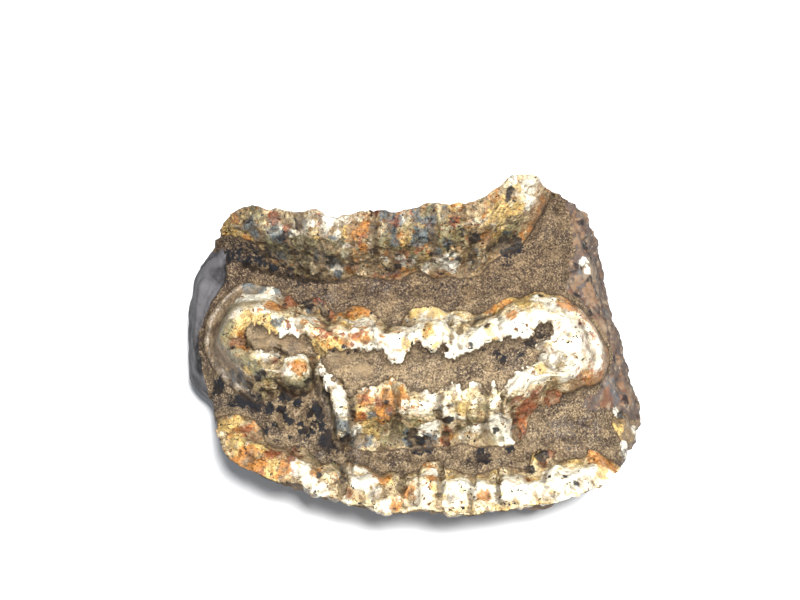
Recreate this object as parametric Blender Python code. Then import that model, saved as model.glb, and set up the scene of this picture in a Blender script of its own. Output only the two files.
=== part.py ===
"""Fossil stegodon tooth: a broken molar fragment with three worn enamel ridges.

The tooth grew as one piece, so it is one closed solid. Its top is blended between the lines
that a hand would draw on it: crests, rims, feet of the ridges and floors of the valleys.
Metres, +Z up, +X along the ridges, origin at the middle of the box's underside.
"""
import bpy
import bmesh
import numpy as np

MM = 0.001

# Driving dimensions, in millimetres
BASIN_DEPTH = 2.6
BASIN_WALL = 1.5
GROOVE_DEPTH = 1.1
GROOVE_WIDTH = 1.0
SURFACE_LUMP_HEIGHT = 0.35
SURFACE_LUMP_SIZE = 5.0

# The foot is a smaller outline than the top, furrowed at its ends below each valley
FOOT_SPREAD_X = 0.87
FOOT_SPREAD_Y = 0.80
FOOT_MIDDLE_Y = 2.0
VALLEY_FURROWS_Y = (19.0, -8.0)
FURROW_HALF_WIDTH = 4.5
FURROW_SHARE = 0.07
CORNER_ROUNDING = 0.12

# The broken front and back faces: an enamel lip over dentine that broke further in
BREAK_STARTS_AT, BREAK_FULL_AT = 22.0, 30.0
ENAMEL_LIP = 3.2
LIP_ROUNDING = 0.8
BREAK_STEP = 1.1
BACK_SWELL = 3.6
FLANK_SWELL = 1.6
LARGE_CHIP_HEIGHT, LARGE_CHIP_SIZE = 0.9, 13.0
SMALL_CHIP_HEIGHT, SMALL_CHIP_SIZE = 0.5, 6.0

# Hollow root canals in the underside, as the middle of each
CANALS = [(-21, 20), (19, 21), (-24, 4), (20, 3), (-20, -10.5), (19, -11)]
CANAL_HALF_LENGTH, CANAL_HALF_WIDTH = 11.0, 5.0
CANAL_DEPTH = 4.0
FLAT_WITHIN = 0.15

# How the lines on the top pull on the surface between them
LINE_PULL = 1.5
LINE_REACH = 5.0
LINE_SOFTNESS = 0.25
CURVE_STEP = 1.2

# How finely the solid is laid out before it is thinned
COLUMNS = 150
ROWS = 112
WALL_RINGS = 16
TARGET_TRIANGLES = 9000

# The four edges of the top, each from its left or front end: x, y and height of hand-set points
EDGE_FRONT = [(-38.5, -12, 27), (-37.5, -15, 29), (-35.5, -18, 30), (-31.5, -20.5, 31.5), (-25.5, -23, 32),
              (-21.5, -23.5, 32.5), (-18.5, -25.5, 33), (-14, -26.5, 33), (-8, -28, 33), (-4, -29, 33),
              (1.5, -28.5, 33.5), (6, -29, 33.5), (12, -29.5, 34), (17.5, -28.5, 34), (22.5, -27.5, 33.5),
              (27, -27, 33), (33.5, -24.5, 32), (37.5, -22, 30), (41, -18.5, 26)]
EDGE_BACK = [(-39, 29.5, 29), (-38.5, 30.5, 31), (-36, 31.5, 34.5), (-33.5, 32, 36.5), (-30, 31.5, 38),
             (-25.5, 30.5, 38), (-20, 30.5, 38.5), (-15, 29, 38.5), (-9, 30, 39.5), (-3.5, 30, 39.5),
             (2.5, 31, 40), (7.5, 31, 40.5), (13, 31.5, 41.5), (17, 34, 43), (21, 35.5, 44.5),
             (24, 35.5, 44), (26, 36, 38.5), (28.5, 36.5, 34), (32.5, 36, 30), (36.5, 35, 25)]
EDGE_LEFT = [(-38.5, -12, 27), (-40, -6.5, 21), (-41.5, -2.5, 17), (-44.5, 0.5, 14), (-46.5, 3.5, 13),
             (-47, 10, 13), (-47.5, 16.5, 13), (-47, 21.5, 13.5), (-46, 25.5, 14.5), (-43.5, 27.5, 17),
             (-41, 27.5, 20), (-40, 28, 24), (-39, 29.5, 29)]
EDGE_RIGHT = [(41, -18.5, 26), (43, -14.5, 20), (46, -10, 15), (47.5, -4.5, 12), (46.5, 1, 12),
              (45, 6.5, 12), (43.5, 14.5, 12), (42, 20, 12), (41, 26.5, 13), (40, 32, 15), (36.5, 35, 25)]

# Lines on the top, each with its own height
BACK_SHOULDER = [(-36.5, 29, 33), (-34, 28.5, 35), (-30, 28, 36.5), (-22.5, 26.5, 37), (-14.5, 25.5, 37.5),
                 (-6.5, 26, 38.5), (1.5, 26.5, 38.5), (8.5, 27, 39), (13.5, 28, 40), (17, 30, 41.5),
                 (21, 31.5, 42.5), (24, 32.5, 40.5), (26.5, 33.5, 35)]
BACK_FOOT = [(-37.5, 26.5, 26), (-35.5, 24.5, 26.5), (-31, 22.5, 27), (-23, 20.5, 27.5), (-15, 19.5, 27.5),
             (-6.5, 19.5, 27.5), (3.5, 19, 28), (12, 20.5, 28), (16, 23, 28.5), (19, 26, 28.5),
             (22.5, 27, 29), (26, 30.5, 29.5), (28, 35, 30)]
REAR_VALLEY = [(-38.5, 24.5, 24), (-34.5, 22, 25.5), (-27, 19.5, 26), (-19, 17.5, 26.5), (-10.5, 17.5, 26.5),
               (-2.5, 17, 27), (5.5, 17, 27), (14, 18, 27.5), (20, 21, 28), (27, 24, 28),
               (33.5, 24, 26), (35.5, 20, 24)]
RING_FOOT = [(-42, 11.5, 22), (-41.5, 16, 23), (-39, 18, 24), (-35.5, 19.5, 25), (-31.5, 19.5, 25.5),
             (-25, 18.5, 26), (-21, 15.5, 26.5), (-15.5, 13.5, 26.5), (-8.5, 14.5, 27), (-3.5, 12, 27),
             (1.5, 13.5, 27.5), (5.5, 13.5, 27.5), (8.5, 14.5, 28), (11.5, 13.5, 28), (15.5, 13.5, 28),
             (21, 16.5, 28), (26, 17.5, 28), (31, 16.5, 27), (35.5, 14, 25), (38.5, 10, 23.5),
             (40.5, 6, 22.5), (40.5, 2, 22), (38.5, -1.5, 23), (36, -2.5, 24), (32.5, -4, 24.5),
             (27.5, -5.5, 25), (23.5, -8.5, 25), (20.5, -13, 25), (15.5, -14, 25), (6.5, -15, 25),
             (-2.5, -15, 25), (-9.5, -15, 25), (-14.5, -14, 25), (-16, -10.5, 25.5), (-17, -5, 26),
             (-19.5, 0.5, 28), (-21, -2, 27), (-24.5, -2.5, 26), (-27, -2, 25.5), (-29.5, -4.5, 25),
             (-33.5, -4, 24.5), (-37.5, -1.5, 24), (-41, 3.5, 22.5)]
RIM = [(-37.5, 6.5, 32), (-35.5, 8.5, 34), (-33, 9.5, 35.5), (-29, 9, 36.5), (-25, 8, 36.5),
       (-21, 6.5, 36.5), (-17, 4.5, 36.5), (-13, 5, 36.5), (-8.5, 4.5, 36.5), (-3.5, 3.5, 36.5),
       (0.5, 5, 37), (5, 5.5, 37), (8.5, 3.5, 37), (12.5, 5, 37), (17, 7, 37.5),
       (21, 9, 37.5), (25, 10, 37), (29, 8.5, 36), (31.5, 6, 35), (32.5, 3, 34.5),
       (32, 0, 34.5), (30, -2, 35), (27.5, -2.5, 35.5), (23.5, -3, 36.5), (19.5, -5, 36.5),
       (15.5, -7, 36), (11, -7, 36), (6, -7.5, 36), (1.5, -8.5, 36), (-3.5, -7, 35.5),
       (-9, -8, 35.5), (-13, -8, 35), (-15.5, -5.5, 35), (-17, -2, 35), (-18.5, 0.5, 35.5),
       (-22, 0, 36), (-24.5, -1, 36), (-28, -1, 36), (-31.5, 0.5, 35), (-34.5, 2, 34),
       (-37, 4.5, 32)]
RING_END = [(30, 12.5, 33.5), (34.5, 9.5, 31.5), (37, 5, 30), (37, 1, 29.5), (34.5, -1.5, 30)]
FRONT_VALLEY = [(-40, -4, 20), (-37, -5, 23), (-32.5, -6.5, 24), (-27.5, -9, 24.5), (-21.5, -10.5, 25),
                (-16.5, -15.5, 24.5), (-10.5, -16, 24.5), (-2.5, -16.5, 24.5), (6.5, -16.5, 24.5),
                (15.5, -16, 24.5), (23.5, -15, 24.5), (29.5, -12, 24.5), (35.5, -9.5, 24), (41, -9.5, 22)]
FRONT_FOOT = [(-39, -8, 25), (-34.5, -8.5, 26), (-30, -12, 26), (-24, -14.5, 26), (-17.5, -16.5, 26),
              (-12.5, -17.5, 26), (-6.5, -17.5, 26), (-0.5, -18, 26), (5.5, -17.5, 26), (13, -19, 26),
              (21, -19, 26), (26, -18, 26), (32, -16.5, 26), (38, -15.5, 25), (42.5, -14.5, 23)]
FRONT_SHOULDER = [(-37, -12.5, 29), (-34.5, -14, 30.5), (-29, -16.5, 31.5), (-22.5, -19, 32),
                  (-16, -21.5, 32), (-8.5, -23, 32), (-0.5, -23, 32), (7, -23.5, 32.5),
                  (14.5, -24, 32.5), (22.5, -24, 32.5), (30, -22, 32), (37, -20, 30)]
LEFT_LUMP = [(-40, -3.5, 20), (-43, 0.5, 20.5), (-44.5, 6.5, 22), (-44.5, 13, 22.5), (-44, 19.5, 23),
             (-42.5, 24, 22)]
RIGHT_FLANK = [(30.5, 34, 29), (33.5, 28.5, 27), (35, 23, 25), (37, 17, 22.5), (40.5, 12.5, 20),
               (42.5, 7, 18), (43.5, 2, 17), (43, -3.5, 18.5), (41.5, -9, 20)]

# Outlines of the two worn basins, with the lobes of enamel that reach into them
LEFT_BASIN = [(-32.5, 6.5), (-31.5, 7.5), (-30.5, 8), (-29.5, 6.5), (-28, 6), (-26, 5), (-24, 5.5), (-22, 5),
              (-21, 5), (-20.5, 3.5), (-19.5, 2), (-22, 1), (-24.5, 1.5), (-26, 1), (-28, 2),
              (-30, 1.5), (-31.5, 2.5), (-33, 3.5)]
RIGHT_BASIN = [(-18.5, 1.5), (-17, 2), (-14.5, 3), (-12.5, 3), (-11, 2), (-9.5, 2.5), (-8, 2.5), (-6, 1),
               (-4.5, 0), (-3.5, -0.5), (-2.5, 0), (-1.5, 1.5), (0.5, 3), (2, 2.5), (3.5, 2),
               (5, 3.5), (6, 3), (7, 0.5), (8, 0), (9, 1), (10, 2), (11.5, 1.5), (12.5, 3),
               (14, 4), (16, 4.5), (18, 5), (19.5, 4), (21.5, 4), (23, 5), (23.5, 7), (25, 8),
               (26, 7.5), (25.5, 5), (24, 3), (25.5, 2), (24, 0.5), (22, -0.5), (19.5, -1.5),
               (18, -3.5), (17, -5.5), (15.5, -3.5), (14, -4.5), (12, -3.5), (10, -5), (8, -3.5),
               (7, -3.5), (6, -5.5), (4, -6), (1.5, -6), (-1, -4.5), (-3.5, -3), (-5, -3),
               (-7.5, -4.5), (-9.5, -5.5), (-12.5, -6), (-14, -4), (-15, -2.5), (-16.5, -1)]

# Grooves between the columns of each ridge, from crest to foot
GROOVES = [[(-11, -7.5), (-12, -10.5), (-12.5, -14)], [(-5, -6), (-3.5, -10.5), (-2.5, -14.5)],
           [(1.5, -7), (4.5, -8.5), (7, -15)], [(7.5, -4.5), (8, -6.5), (9.5, -14)],
           [(12, -5), (13, -9.5), (14, -14.5)], [(17.5, -6), (17.5, -9.5), (21, -13.5)],
           [(-22, 5.5), (-21, 10), (-19, 14.5)], [(-13, 3), (-12.5, 8), (-13.5, 13)],
           [(-7, 2.5), (-5.5, 7), (-5.5, 12.5)], [(-1.5, 1), (-1.5, 6), (-1, 12)],
           [(5.5, 3), (6.5, 8), (8, 14)], [(10, 2), (11, 7), (13, 12.5)], [(17, 4.5), (17, 8.5), (17.5, 14)],
           [(-24, -15), (-24.5, -19.5), (-25.5, -24)], [(-18.5, -16), (-19, -20), (-20, -26)],
           [(-12, -17.5), (-13, -20.5), (-13.5, -27)], [(-7, -17.5), (-6, -22), (-5.5, -29)],
           [(0, -18), (0, -23), (-0.5, -29)], [(6, -17.5), (5, -22), (5, -29.5)],
           [(11, -19), (11, -24), (10.5, -30)], [(17, -19.5), (16, -24), (17, -29)],
           [(27, -18), (25.5, -22), (24.5, -28)], [(-31, -13), (-31.5, -17), (-33, -20)],
           [(-25, 30), (-24.5, 24.5), (-23.5, 21)], [(-18.5, 29), (-18.5, 23.5), (-18.5, 20.5)],
           [(-12, 28.5), (-12, 23.5), (-12.5, 20)], [(-5, 29), (-4.5, 24.5), (-4, 20)],
           [(3.5, 30), (4, 24.5), (5, 19.5)], [(10, 31), (11, 25.5), (12, 21.5)],
           [(16, 33), (15.5, 27.5), (15.5, 25)],
           [(-40.5, -1), (-42, 3.5), (-42.5, 9), (-42, 15), (-40.5, 19.5), (-38.5, 22.5)]]

ENAMEL_COLOUR = (0.62, 0.50, 0.34, 1.0)
ENAMEL_ROUGHNESS = 0.38


def clear_scene():
    """Remove every object that a new file brings."""
    for old in list(bpy.data.objects):
        bpy.data.objects.remove(old, do_unlink=True)


def curve_through(points, closed=False):
    """A smooth curve through hand-set points, read every CURVE_STEP millimetres."""
    points = np.array(points, float)
    if closed:
        padded = np.vstack([points[-1:], points, points[:2]])
    else:
        padded = np.vstack([2 * points[0] - points[1], points, 2 * points[-1] - points[-2]])
    runs = []
    for before, start, end, after in zip(padded, padded[1:], padded[2:], padded[3:]):
        count = max(1, int(np.ceil(np.linalg.norm(end - start) / CURVE_STEP)))
        t = (np.arange(count) / count)[:, None]
        pull = 2 * before - 5 * start + 4 * end - after
        twist = 3 * (start - end) + after - before
        runs.append(start + 0.5 * t * ((end - before) + t * (pull + t * twist)))
    runs.append(points[:1] if closed else points[-1:])
    return np.vstack(runs)


def nearest_on(plan, line):
    """Each plan point's distance to a line, and the line's height at the nearest place."""
    gap = np.full(len(plan), np.inf)
    height = np.zeros(len(plan))
    for start, end in zip(line[:-1], line[1:]):
        run = end[:2] - start[:2]
        along = np.clip((plan - start[:2]) @ run / max(run @ run, 1e-9), 0, 1)
        away = np.linalg.norm(plan - start[:2] - along[:, None] * run, axis=1)
        closer = away < gap
        gap[closer] = away[closer]
        if line.shape[1] == 3:
            height[closer] = start[2] + along[closer] * (end[2] - start[2])
    return gap, height


def inside(plan, outline):
    """True for the plan points that a closed outline holds."""
    x, y = plan.T
    held = np.zeros(len(plan), bool)
    for (x0, y0), (x1, y1) in zip(outline[:-1, :2], outline[1:, :2]):
        if y0 != y1:
            crosses = (y0 > y) != (y1 > y)
            held ^= crosses & (x < x0 + (y - y0) * (x1 - x0) / (y1 - y0))
    return held


def ease(value, low, high):
    """0 below low, 1 above high, and a smooth step between."""
    t = np.clip((value - low) / (high - low), 0, 1)
    return t * t * (3 - 2 * t)


def lumps(points, size, seed):
    """Smooth random lumps of about one size, between -1 and 1, from a few crossing waves."""
    waves = 14
    rng = np.random.default_rng(seed)
    direction = rng.normal(size=(waves, points.shape[1]))
    direction /= np.linalg.norm(direction, axis=1)[:, None]
    stretch = rng.uniform(0.75, 1.35, waves)
    phase = rng.uniform(0, 2 * np.pi, waves)
    total = np.sin(points @ (direction * stretch[:, None]).T * 2 * np.pi / size + phase).sum(axis=1)
    return np.tanh(total / np.sqrt(waves))


def read_edge(points, fraction):
    """Points on an edge curve at fractions of its length."""
    curve = curve_through(points)
    length = np.concatenate([[0], np.cumsum(np.linalg.norm(np.diff(curve[:, :2], axis=0), axis=1))])
    return np.column_stack([np.interp(fraction * length[-1], length, curve[:, k]) for k in range(3)])


def on_top(across, deep):
    """Where the unit square's points lie on the top, between its four edges."""
    left, right = read_edge(EDGE_LEFT, deep), read_edge(EDGE_RIGHT, deep)
    front, back = read_edge(EDGE_FRONT, across), read_edge(EDGE_BACK, across)
    s, t = across[:, None], deep[:, None]
    corners = [np.array(points[end], float) for points in (EDGE_FRONT, EDGE_BACK) for end in (0, -1)]
    flat = ((1 - s) * (1 - t) * corners[0] + s * (1 - t) * corners[1]
            + (1 - s) * t * corners[2] + s * t * corners[3])
    return (1 - t) * front + t * back + (1 - s) * left + s * right - flat


def blended_height(plan):
    """The top's height: every line pulls on it, and the nearest ones pull hardest."""
    open_lines = [EDGE_FRONT, EDGE_BACK, EDGE_LEFT, EDGE_RIGHT, BACK_SHOULDER, BACK_FOOT, REAR_VALLEY,
                  FRONT_VALLEY, FRONT_FOOT, FRONT_SHOULDER, RING_END, LEFT_LUMP, RIGHT_FLANK]
    curves = [curve_through(line) for line in open_lines]
    curves += [curve_through(RING_FOOT, closed=True), curve_through(RIM, closed=True)]
    pulls, total = np.zeros(len(plan)), np.zeros(len(plan))
    for curve in curves:
        gap, height = nearest_on(plan, curve)
        pull = np.exp(-gap / LINE_REACH) / (gap + LINE_SOFTNESS) ** LINE_PULL
        pulls += pull
        total += pull * height
    return total / pulls


def top_height(plan):
    """The blended height with the basins sunk and the grooves cut."""
    height = blended_height(plan)
    for outline in (LEFT_BASIN, RIGHT_BASIN):
        curve = curve_through(outline, closed=True)
        gap, _ = nearest_on(plan, curve)
        signed = np.where(inside(plan, curve), gap, -gap)
        height -= BASIN_DEPTH * ease(signed, -0.3, BASIN_WALL)
    for groove in GROOVES:
        gap, _ = nearest_on(plan, curve_through(groove))
        height -= GROOVE_DEPTH * np.exp(-(gap / GROOVE_WIDTH) ** 2)
    return height + SURFACE_LUMP_HEIGHT * lumps(plan, SURFACE_LUMP_SIZE, seed=3)


def on_foot(top, across, deep):
    """The foot's outline under a top point: smaller, with a furrow under each valley."""
    furrow = sum(np.exp(-((top[:, 1] - y) / FURROW_HALF_WIDTH) ** 2) for y in VALLEY_FURROWS_Y)
    from_middle_x, from_middle_y = np.abs(across - 0.5), np.abs(deep - 0.5)
    spread_x = FOOT_SPREAD_X - FURROW_SHARE * furrow * ease(from_middle_x, 0.32, 0.5)
    rounding = 1 - CORNER_ROUNDING * ease(from_middle_x, 0.3, 0.5) * ease(from_middle_y, 0.3, 0.5)
    x = top[:, 0] * spread_x * rounding
    y = (FOOT_MIDDLE_Y + (top[:, 1] - FOOT_MIDDLE_Y) * FOOT_SPREAD_Y) * rounding
    return np.column_stack([x, y, np.zeros(len(x))])


def underside(across, deep):
    """The worn underside: flat to rest on, with a hollow root canal under each ridge end."""
    foot = on_foot(on_top(across, deep), across, deep)
    ragged = 0.22 * lumps(foot[:, :2], 9.0, seed=11)
    for x, y in CANALS:
        reach = np.hypot((foot[:, 0] - x) / CANAL_HALF_LENGTH, (foot[:, 1] - y) / CANAL_HALF_WIDTH)
        foot[:, 2] = np.maximum(foot[:, 2], CANAL_DEPTH * ease(-reach - ragged, -1.0, -0.35))
    return foot


def wall(across, deep, down):
    """The sides, from the top's edge (0) to the foot (1)."""
    edge = on_top(across, deep)
    foot = on_foot(edge, across, deep)
    broken = ease(edge[:, 2], BREAK_STARTS_AT, BREAK_FULL_AT)
    lean = (1 - broken) * down ** 1.8 + broken * (0.25 * down + 0.75 * down ** 1.6)
    place = edge + (foot - edge) * lean[:, None]
    place[:, 2] = edge[:, 2] * (1 - down)
    middle = np.sin(np.pi * np.clip(down, 0, 1))
    chips = (LARGE_CHIP_HEIGHT * lumps(place, LARGE_CHIP_SIZE, seed=7)
             + SMALL_CHIP_HEIGHT * lumps(place, SMALL_CHIP_SIZE, seed=8))
    below_lip = ease(edge[:, 2] * down, ENAMEL_LIP - LIP_ROUNDING, ENAMEL_LIP + LIP_ROUNDING)
    swell = FLANK_SWELL * (1 - broken) + BACK_SWELL * broken * ease(deep, 0.85, 1.0)
    move = middle * (swell + chips * (0.4 + 0.6 * broken)) - BREAK_STEP * broken * below_lip * (1 - down)
    outward = place[:, :2] - np.array([0, FOOT_MIDDLE_Y])
    outward /= np.linalg.norm(outward, axis=1)[:, None]
    place[:, :2] += outward * move[:, None]
    return place


def block_of_rings():
    """A unit grid with its border drawn down ring by ring to a second grid: a closed block."""
    mesh = bmesh.new()
    bmesh.ops.create_grid(mesh, x_segments=COLUMNS, y_segments=ROWS, size=1.0)
    border = [edge for edge in mesh.edges if edge.is_boundary]
    lower = bmesh.ops.duplicate(mesh, geom=mesh.verts[:] + mesh.edges[:] + mesh.faces[:])["geom"]
    bmesh.ops.translate(mesh, verts=[v for v in lower if isinstance(v, bmesh.types.BMVert)], vec=(0, 0, -1))
    bmesh.ops.reverse_faces(mesh, faces=[f for f in lower if isinstance(f, bmesh.types.BMFace)])
    for _ in range(WALL_RINGS):
        drawn = bmesh.ops.extrude_edge_only(mesh, edges=border)["geom"]
        border = [e for e in drawn if isinstance(e, bmesh.types.BMEdge) and e.is_boundary]
        ring = {v for e in border for v in e.verts}
        bmesh.ops.translate(mesh, verts=list(ring), vec=(0, 0, -1 / WALL_RINGS))
    bmesh.ops.remove_doubles(mesh, verts=mesh.verts[:], dist=1e-4)
    bmesh.ops.recalc_face_normals(mesh, faces=mesh.faces[:])
    data = bpy.data.meshes.new("tooth")
    mesh.to_mesh(data)
    mesh.free()
    return data


def shape_tooth(data):
    """Move the block's points to the tooth's own form and centre it on the origin."""
    unit = np.zeros(len(data.vertices) * 3)
    data.vertices.foreach_get("co", unit)
    unit = unit.reshape(-1, 3)
    across, deep, down = (unit[:, 0] + 1) / 2, (unit[:, 1] + 1) / 2, -unit[:, 2]
    place = wall(across, deep, down)
    upper = down < 1e-4
    place[upper] = on_top(across[upper], deep[upper])
    place[upper, 2] = top_height(place[upper, :2])
    border = (np.abs(unit[:, :2]) > 1 - 1e-4).any(axis=1)
    under = (down > 1 - 1e-4) & ~border
    place[under] = underside(across[under], deep[under])
    middle = (place.max(axis=0) + place.min(axis=0)) / 2
    place[:, :2] -= middle[:2]
    data.vertices.foreach_set("co", (place * MM).ravel())
    data.update()


def thin_out(tooth):
    """Collapse edges where the surface is plain, then level the points that it rests on."""
    triangles = sum(len(face.vertices) - 2 for face in tooth.data.polygons)
    thinning = tooth.modifiers.new("thin_out", "DECIMATE")
    thinning.ratio = TARGET_TRIANGLES / triangles
    thinning.use_collapse_triangulate = True
    bpy.context.view_layer.objects.active = tooth
    bpy.ops.object.modifier_apply(modifier=thinning.name)
    for point in tooth.data.vertices:
        if point.co.z < FLAT_WITHIN * MM:
            point.co.z = 0.0


def fossil_enamel():
    """Mottled cream enamel, here as its one mean colour."""
    material = bpy.data.materials.new("fossil_enamel")
    material.use_nodes = True
    shader = material.node_tree.nodes["Principled BSDF"]
    shader.inputs["Base Color"].default_value = ENAMEL_COLOUR
    shader.inputs["Roughness"].default_value = ENAMEL_ROUGHNESS
    shader.inputs["Metallic"].default_value = 0.0
    return material


def make_tooth():
    """The whole tooth as one object."""
    data = block_of_rings()
    shape_tooth(data)
    tooth = bpy.data.objects.new("tooth", data)
    bpy.context.scene.collection.objects.link(tooth)
    data.materials.append(fossil_enamel())
    data.shade_smooth()
    thin_out(tooth)
    return tooth


clear_scene()
make_tooth()
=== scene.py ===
import math
from itertools import product

import bpy
import numpy as np
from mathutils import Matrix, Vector


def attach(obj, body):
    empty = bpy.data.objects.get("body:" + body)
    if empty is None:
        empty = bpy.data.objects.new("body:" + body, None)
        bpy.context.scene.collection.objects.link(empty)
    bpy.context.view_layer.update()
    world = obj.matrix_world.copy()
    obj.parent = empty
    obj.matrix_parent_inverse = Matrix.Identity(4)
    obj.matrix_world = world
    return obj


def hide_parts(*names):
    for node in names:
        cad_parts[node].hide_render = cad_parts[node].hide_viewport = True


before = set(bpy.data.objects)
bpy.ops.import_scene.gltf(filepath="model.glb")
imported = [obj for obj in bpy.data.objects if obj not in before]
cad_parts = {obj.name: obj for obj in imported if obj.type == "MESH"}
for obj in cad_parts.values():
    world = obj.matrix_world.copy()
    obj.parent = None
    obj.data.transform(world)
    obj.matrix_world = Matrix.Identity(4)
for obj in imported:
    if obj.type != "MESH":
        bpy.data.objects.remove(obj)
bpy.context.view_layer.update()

MM = 0.001

# The camera looks steeply down on the chewing surface from the low broken side,
# at the photograph's angle and distance.
CAMERA_PLACE = Vector((-2.5, -72.0, 285.1)) * MM
CAMERA_TILT = math.radians(90 - 72)
PHOTO_WIDTH, PHOTO_HEIGHT = 800, 600

bpy.ops.object.camera_add(location=CAMERA_PLACE, rotation=(CAMERA_TILT, 0, 0))
camera = bpy.context.active_object
camera.name = "photo_camera"
camera.data.lens = 60
camera.data.sensor_width = 36
camera.data.clip_start = 0.01
camera.data.clip_end = 5
bpy.context.scene.camera = camera

# Tooth, its form.
# A broken stegodon molar, one piece of fossil enamel, dentine, cement and baked-in sediment.
# The lines below are its crests, rims, feet and valley floors in millimetres, as x, y, height.
BASIN_FILL_HEIGHT, BASIN_FILL_LUMP, BASIN_FILL_TILT = 35.1, 0.3, 0.2
BASIN_MIDDLE = [(-33, 4.5), (-22, 3.0), (-14, -1.5), (10, -1.5), (25, 3.0)]
GROOVE_DEPTH, GROOVE_WIDTH = 0.4, 0.8
SURFACE_LUMP_HEIGHT, SURFACE_LUMP_SIZE = 0.35, 5.0
LINES_MIDDLE = np.array([0.0, 3.66, 0.0])

FOOT_SPREAD_X, FOOT_SPREAD_Y, FOOT_MIDDLE_Y = 0.87, 0.80, 2.0
VALLEY_FURROWS_Y, FURROW_HALF_WIDTH, FURROW_SHARE = (19.0, -8.0), 4.5, 0.07
CORNER_ROUNDING = 0.12
BREAK_STARTS_AT, BREAK_FULL_AT = 22.0, 30.0
ENAMEL_LIP, LIP_ROUNDING, BREAK_STEP = 3.2, 0.8, 1.1
BACK_SWELL, FLANK_SWELL = 3.6, 1.6
LARGE_CHIP_HEIGHT, LARGE_CHIP_SIZE = 0.9, 13.0
SMALL_CHIP_HEIGHT, SMALL_CHIP_SIZE = 0.5, 6.0
CANALS = [(-21, 20), (19, 21), (-24, 4), (20, 3), (-20, -10.5), (19, -11)]
CANAL_HALF_LENGTH, CANAL_HALF_WIDTH, CANAL_DEPTH, CANAL_RAGGEDNESS = 11.0, 5.0, 4.0, 0.22
LINE_PULL, LINE_REACH, LINE_SOFTNESS, CURVE_STEP = 1.5, 5.0, 0.5, 2.0

EDGE_FRONT = [(-38.5, -12, 27), (-37.5, -15, 29), (-35.5, -18, 30), (-31.5, -20.5, 31.5), (-25.5, -23, 32),
              (-21.5, -23.5, 32.5), (-18.5, -25.5, 33), (-14, -26.5, 33), (-8, -28, 33), (-4, -29, 33),
              (1.5, -28.5, 33.5), (6, -29, 33.5), (12, -29.5, 34), (17.5, -28.5, 34), (22.5, -27.5, 33.5),
              (27, -27, 33), (33.5, -24.5, 32), (37.5, -22, 30), (41, -18.5, 26)]
EDGE_BACK = [(-39, 29.5, 29), (-38.5, 30.5, 31), (-36, 31.5, 34.5), (-33.5, 32, 36.5), (-30, 31.5, 38),
             (-25.5, 30.5, 38), (-20, 30.5, 38.5), (-15, 29, 38.5), (-9, 30, 39.5), (-3.5, 30, 39.5),
             (2.5, 31, 40), (7.5, 31, 40.5), (13, 31.5, 41.5), (17, 34, 43), (21, 35.5, 44.5),
             (24, 35.5, 44), (26, 36, 38.5), (28.5, 36.5, 34), (32.5, 36, 30), (36.5, 35, 25)]
EDGE_LEFT = [(-38.5, -12, 27), (-40, -6.5, 21), (-41.5, -2.5, 17), (-44.5, 0.5, 14), (-46.5, 3.5, 13),
             (-47, 10, 13), (-47.5, 16.5, 13), (-47, 21.5, 13.5), (-46, 25.5, 14.5), (-43.5, 27.5, 17),
             (-41, 27.5, 20), (-40, 28, 24), (-39, 29.5, 29)]
EDGE_RIGHT = [(41, -18.5, 26), (43, -14.5, 20), (46, -10, 15), (47.5, -4.5, 12), (46.5, 1, 12),
              (45, 6.5, 12), (43.5, 14.5, 12), (42, 20, 12), (41, 26.5, 13), (40, 32, 15), (36.5, 35, 25)]
BACK_SHOULDER = [(-36.5, 29, 33), (-34, 28.5, 35), (-30, 28, 36.5), (-22.5, 26.5, 37), (-14.5, 25.5, 37.5),
                 (-6.5, 26, 38.5), (1.5, 26.5, 38.5), (8.5, 27, 39), (13.5, 28, 40), (17, 30, 41.5),
                 (21, 31.5, 42.5), (24, 32.5, 40.5), (26.5, 33.5, 35)]
BACK_FOOT = [(-37.5, 26.5, 26), (-35.5, 24.5, 26.5), (-31, 22.5, 27), (-23, 20.5, 27.5), (-15, 19.5, 27.5),
             (-6.5, 19.5, 27.5), (3.5, 19, 28), (12, 20.5, 28), (16, 23, 28.5), (19, 26, 28.5),
             (22.5, 27, 29), (26, 30.5, 29.5), (28, 35, 30)]
REAR_VALLEY = [(-38.5, 24.5, 24), (-34.5, 22, 25.5), (-27, 19.5, 26), (-19, 17.5, 26.5), (-10.5, 17.5, 26.5),
               (-2.5, 17, 27), (5.5, 17, 27), (14, 18, 27.5), (20, 21, 28), (27, 24, 28),
               (33.5, 24, 26), (35.5, 20, 24)]
RING_FOOT = [(-42, 11.5, 22), (-41.5, 16, 23), (-39, 18, 24), (-35.5, 19.5, 25), (-31.5, 19.5, 25.5),
             (-25, 18.5, 26), (-21, 15.5, 26.5), (-15.5, 13.5, 26.5), (-8.5, 14.5, 27), (-3.5, 12, 27),
             (1.5, 13.5, 27.5), (5.5, 13.5, 27.5), (8.5, 14.5, 28), (11.5, 13.5, 28), (15.5, 13.5, 28),
             (21, 16.5, 28), (26, 17.5, 28), (31, 16.5, 27), (35.5, 14, 25), (38.5, 10, 23.5),
             (40.5, 6, 22.5), (40.5, 2, 22), (38.5, -1.5, 23), (36, -2.5, 24), (32.5, -4, 24.5),
             (27.5, -5.5, 25), (23.5, -8.5, 25), (20.5, -13, 25), (15.5, -14, 25), (6.5, -15, 25),
             (-2.5, -15, 25), (-9.5, -15, 25), (-14.5, -14, 25), (-16, -10.5, 25.5), (-17, -5, 26),
             (-19.5, -0.6, 28), (-21.5, -3.4, 27), (-24.5, -4, 26), (-27, -4, 25.5), (-29.5, -5, 25),
             (-33.5, -4.8, 24.5), (-37.5, -1.5, 24), (-41, 3.5, 22.5)]
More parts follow.
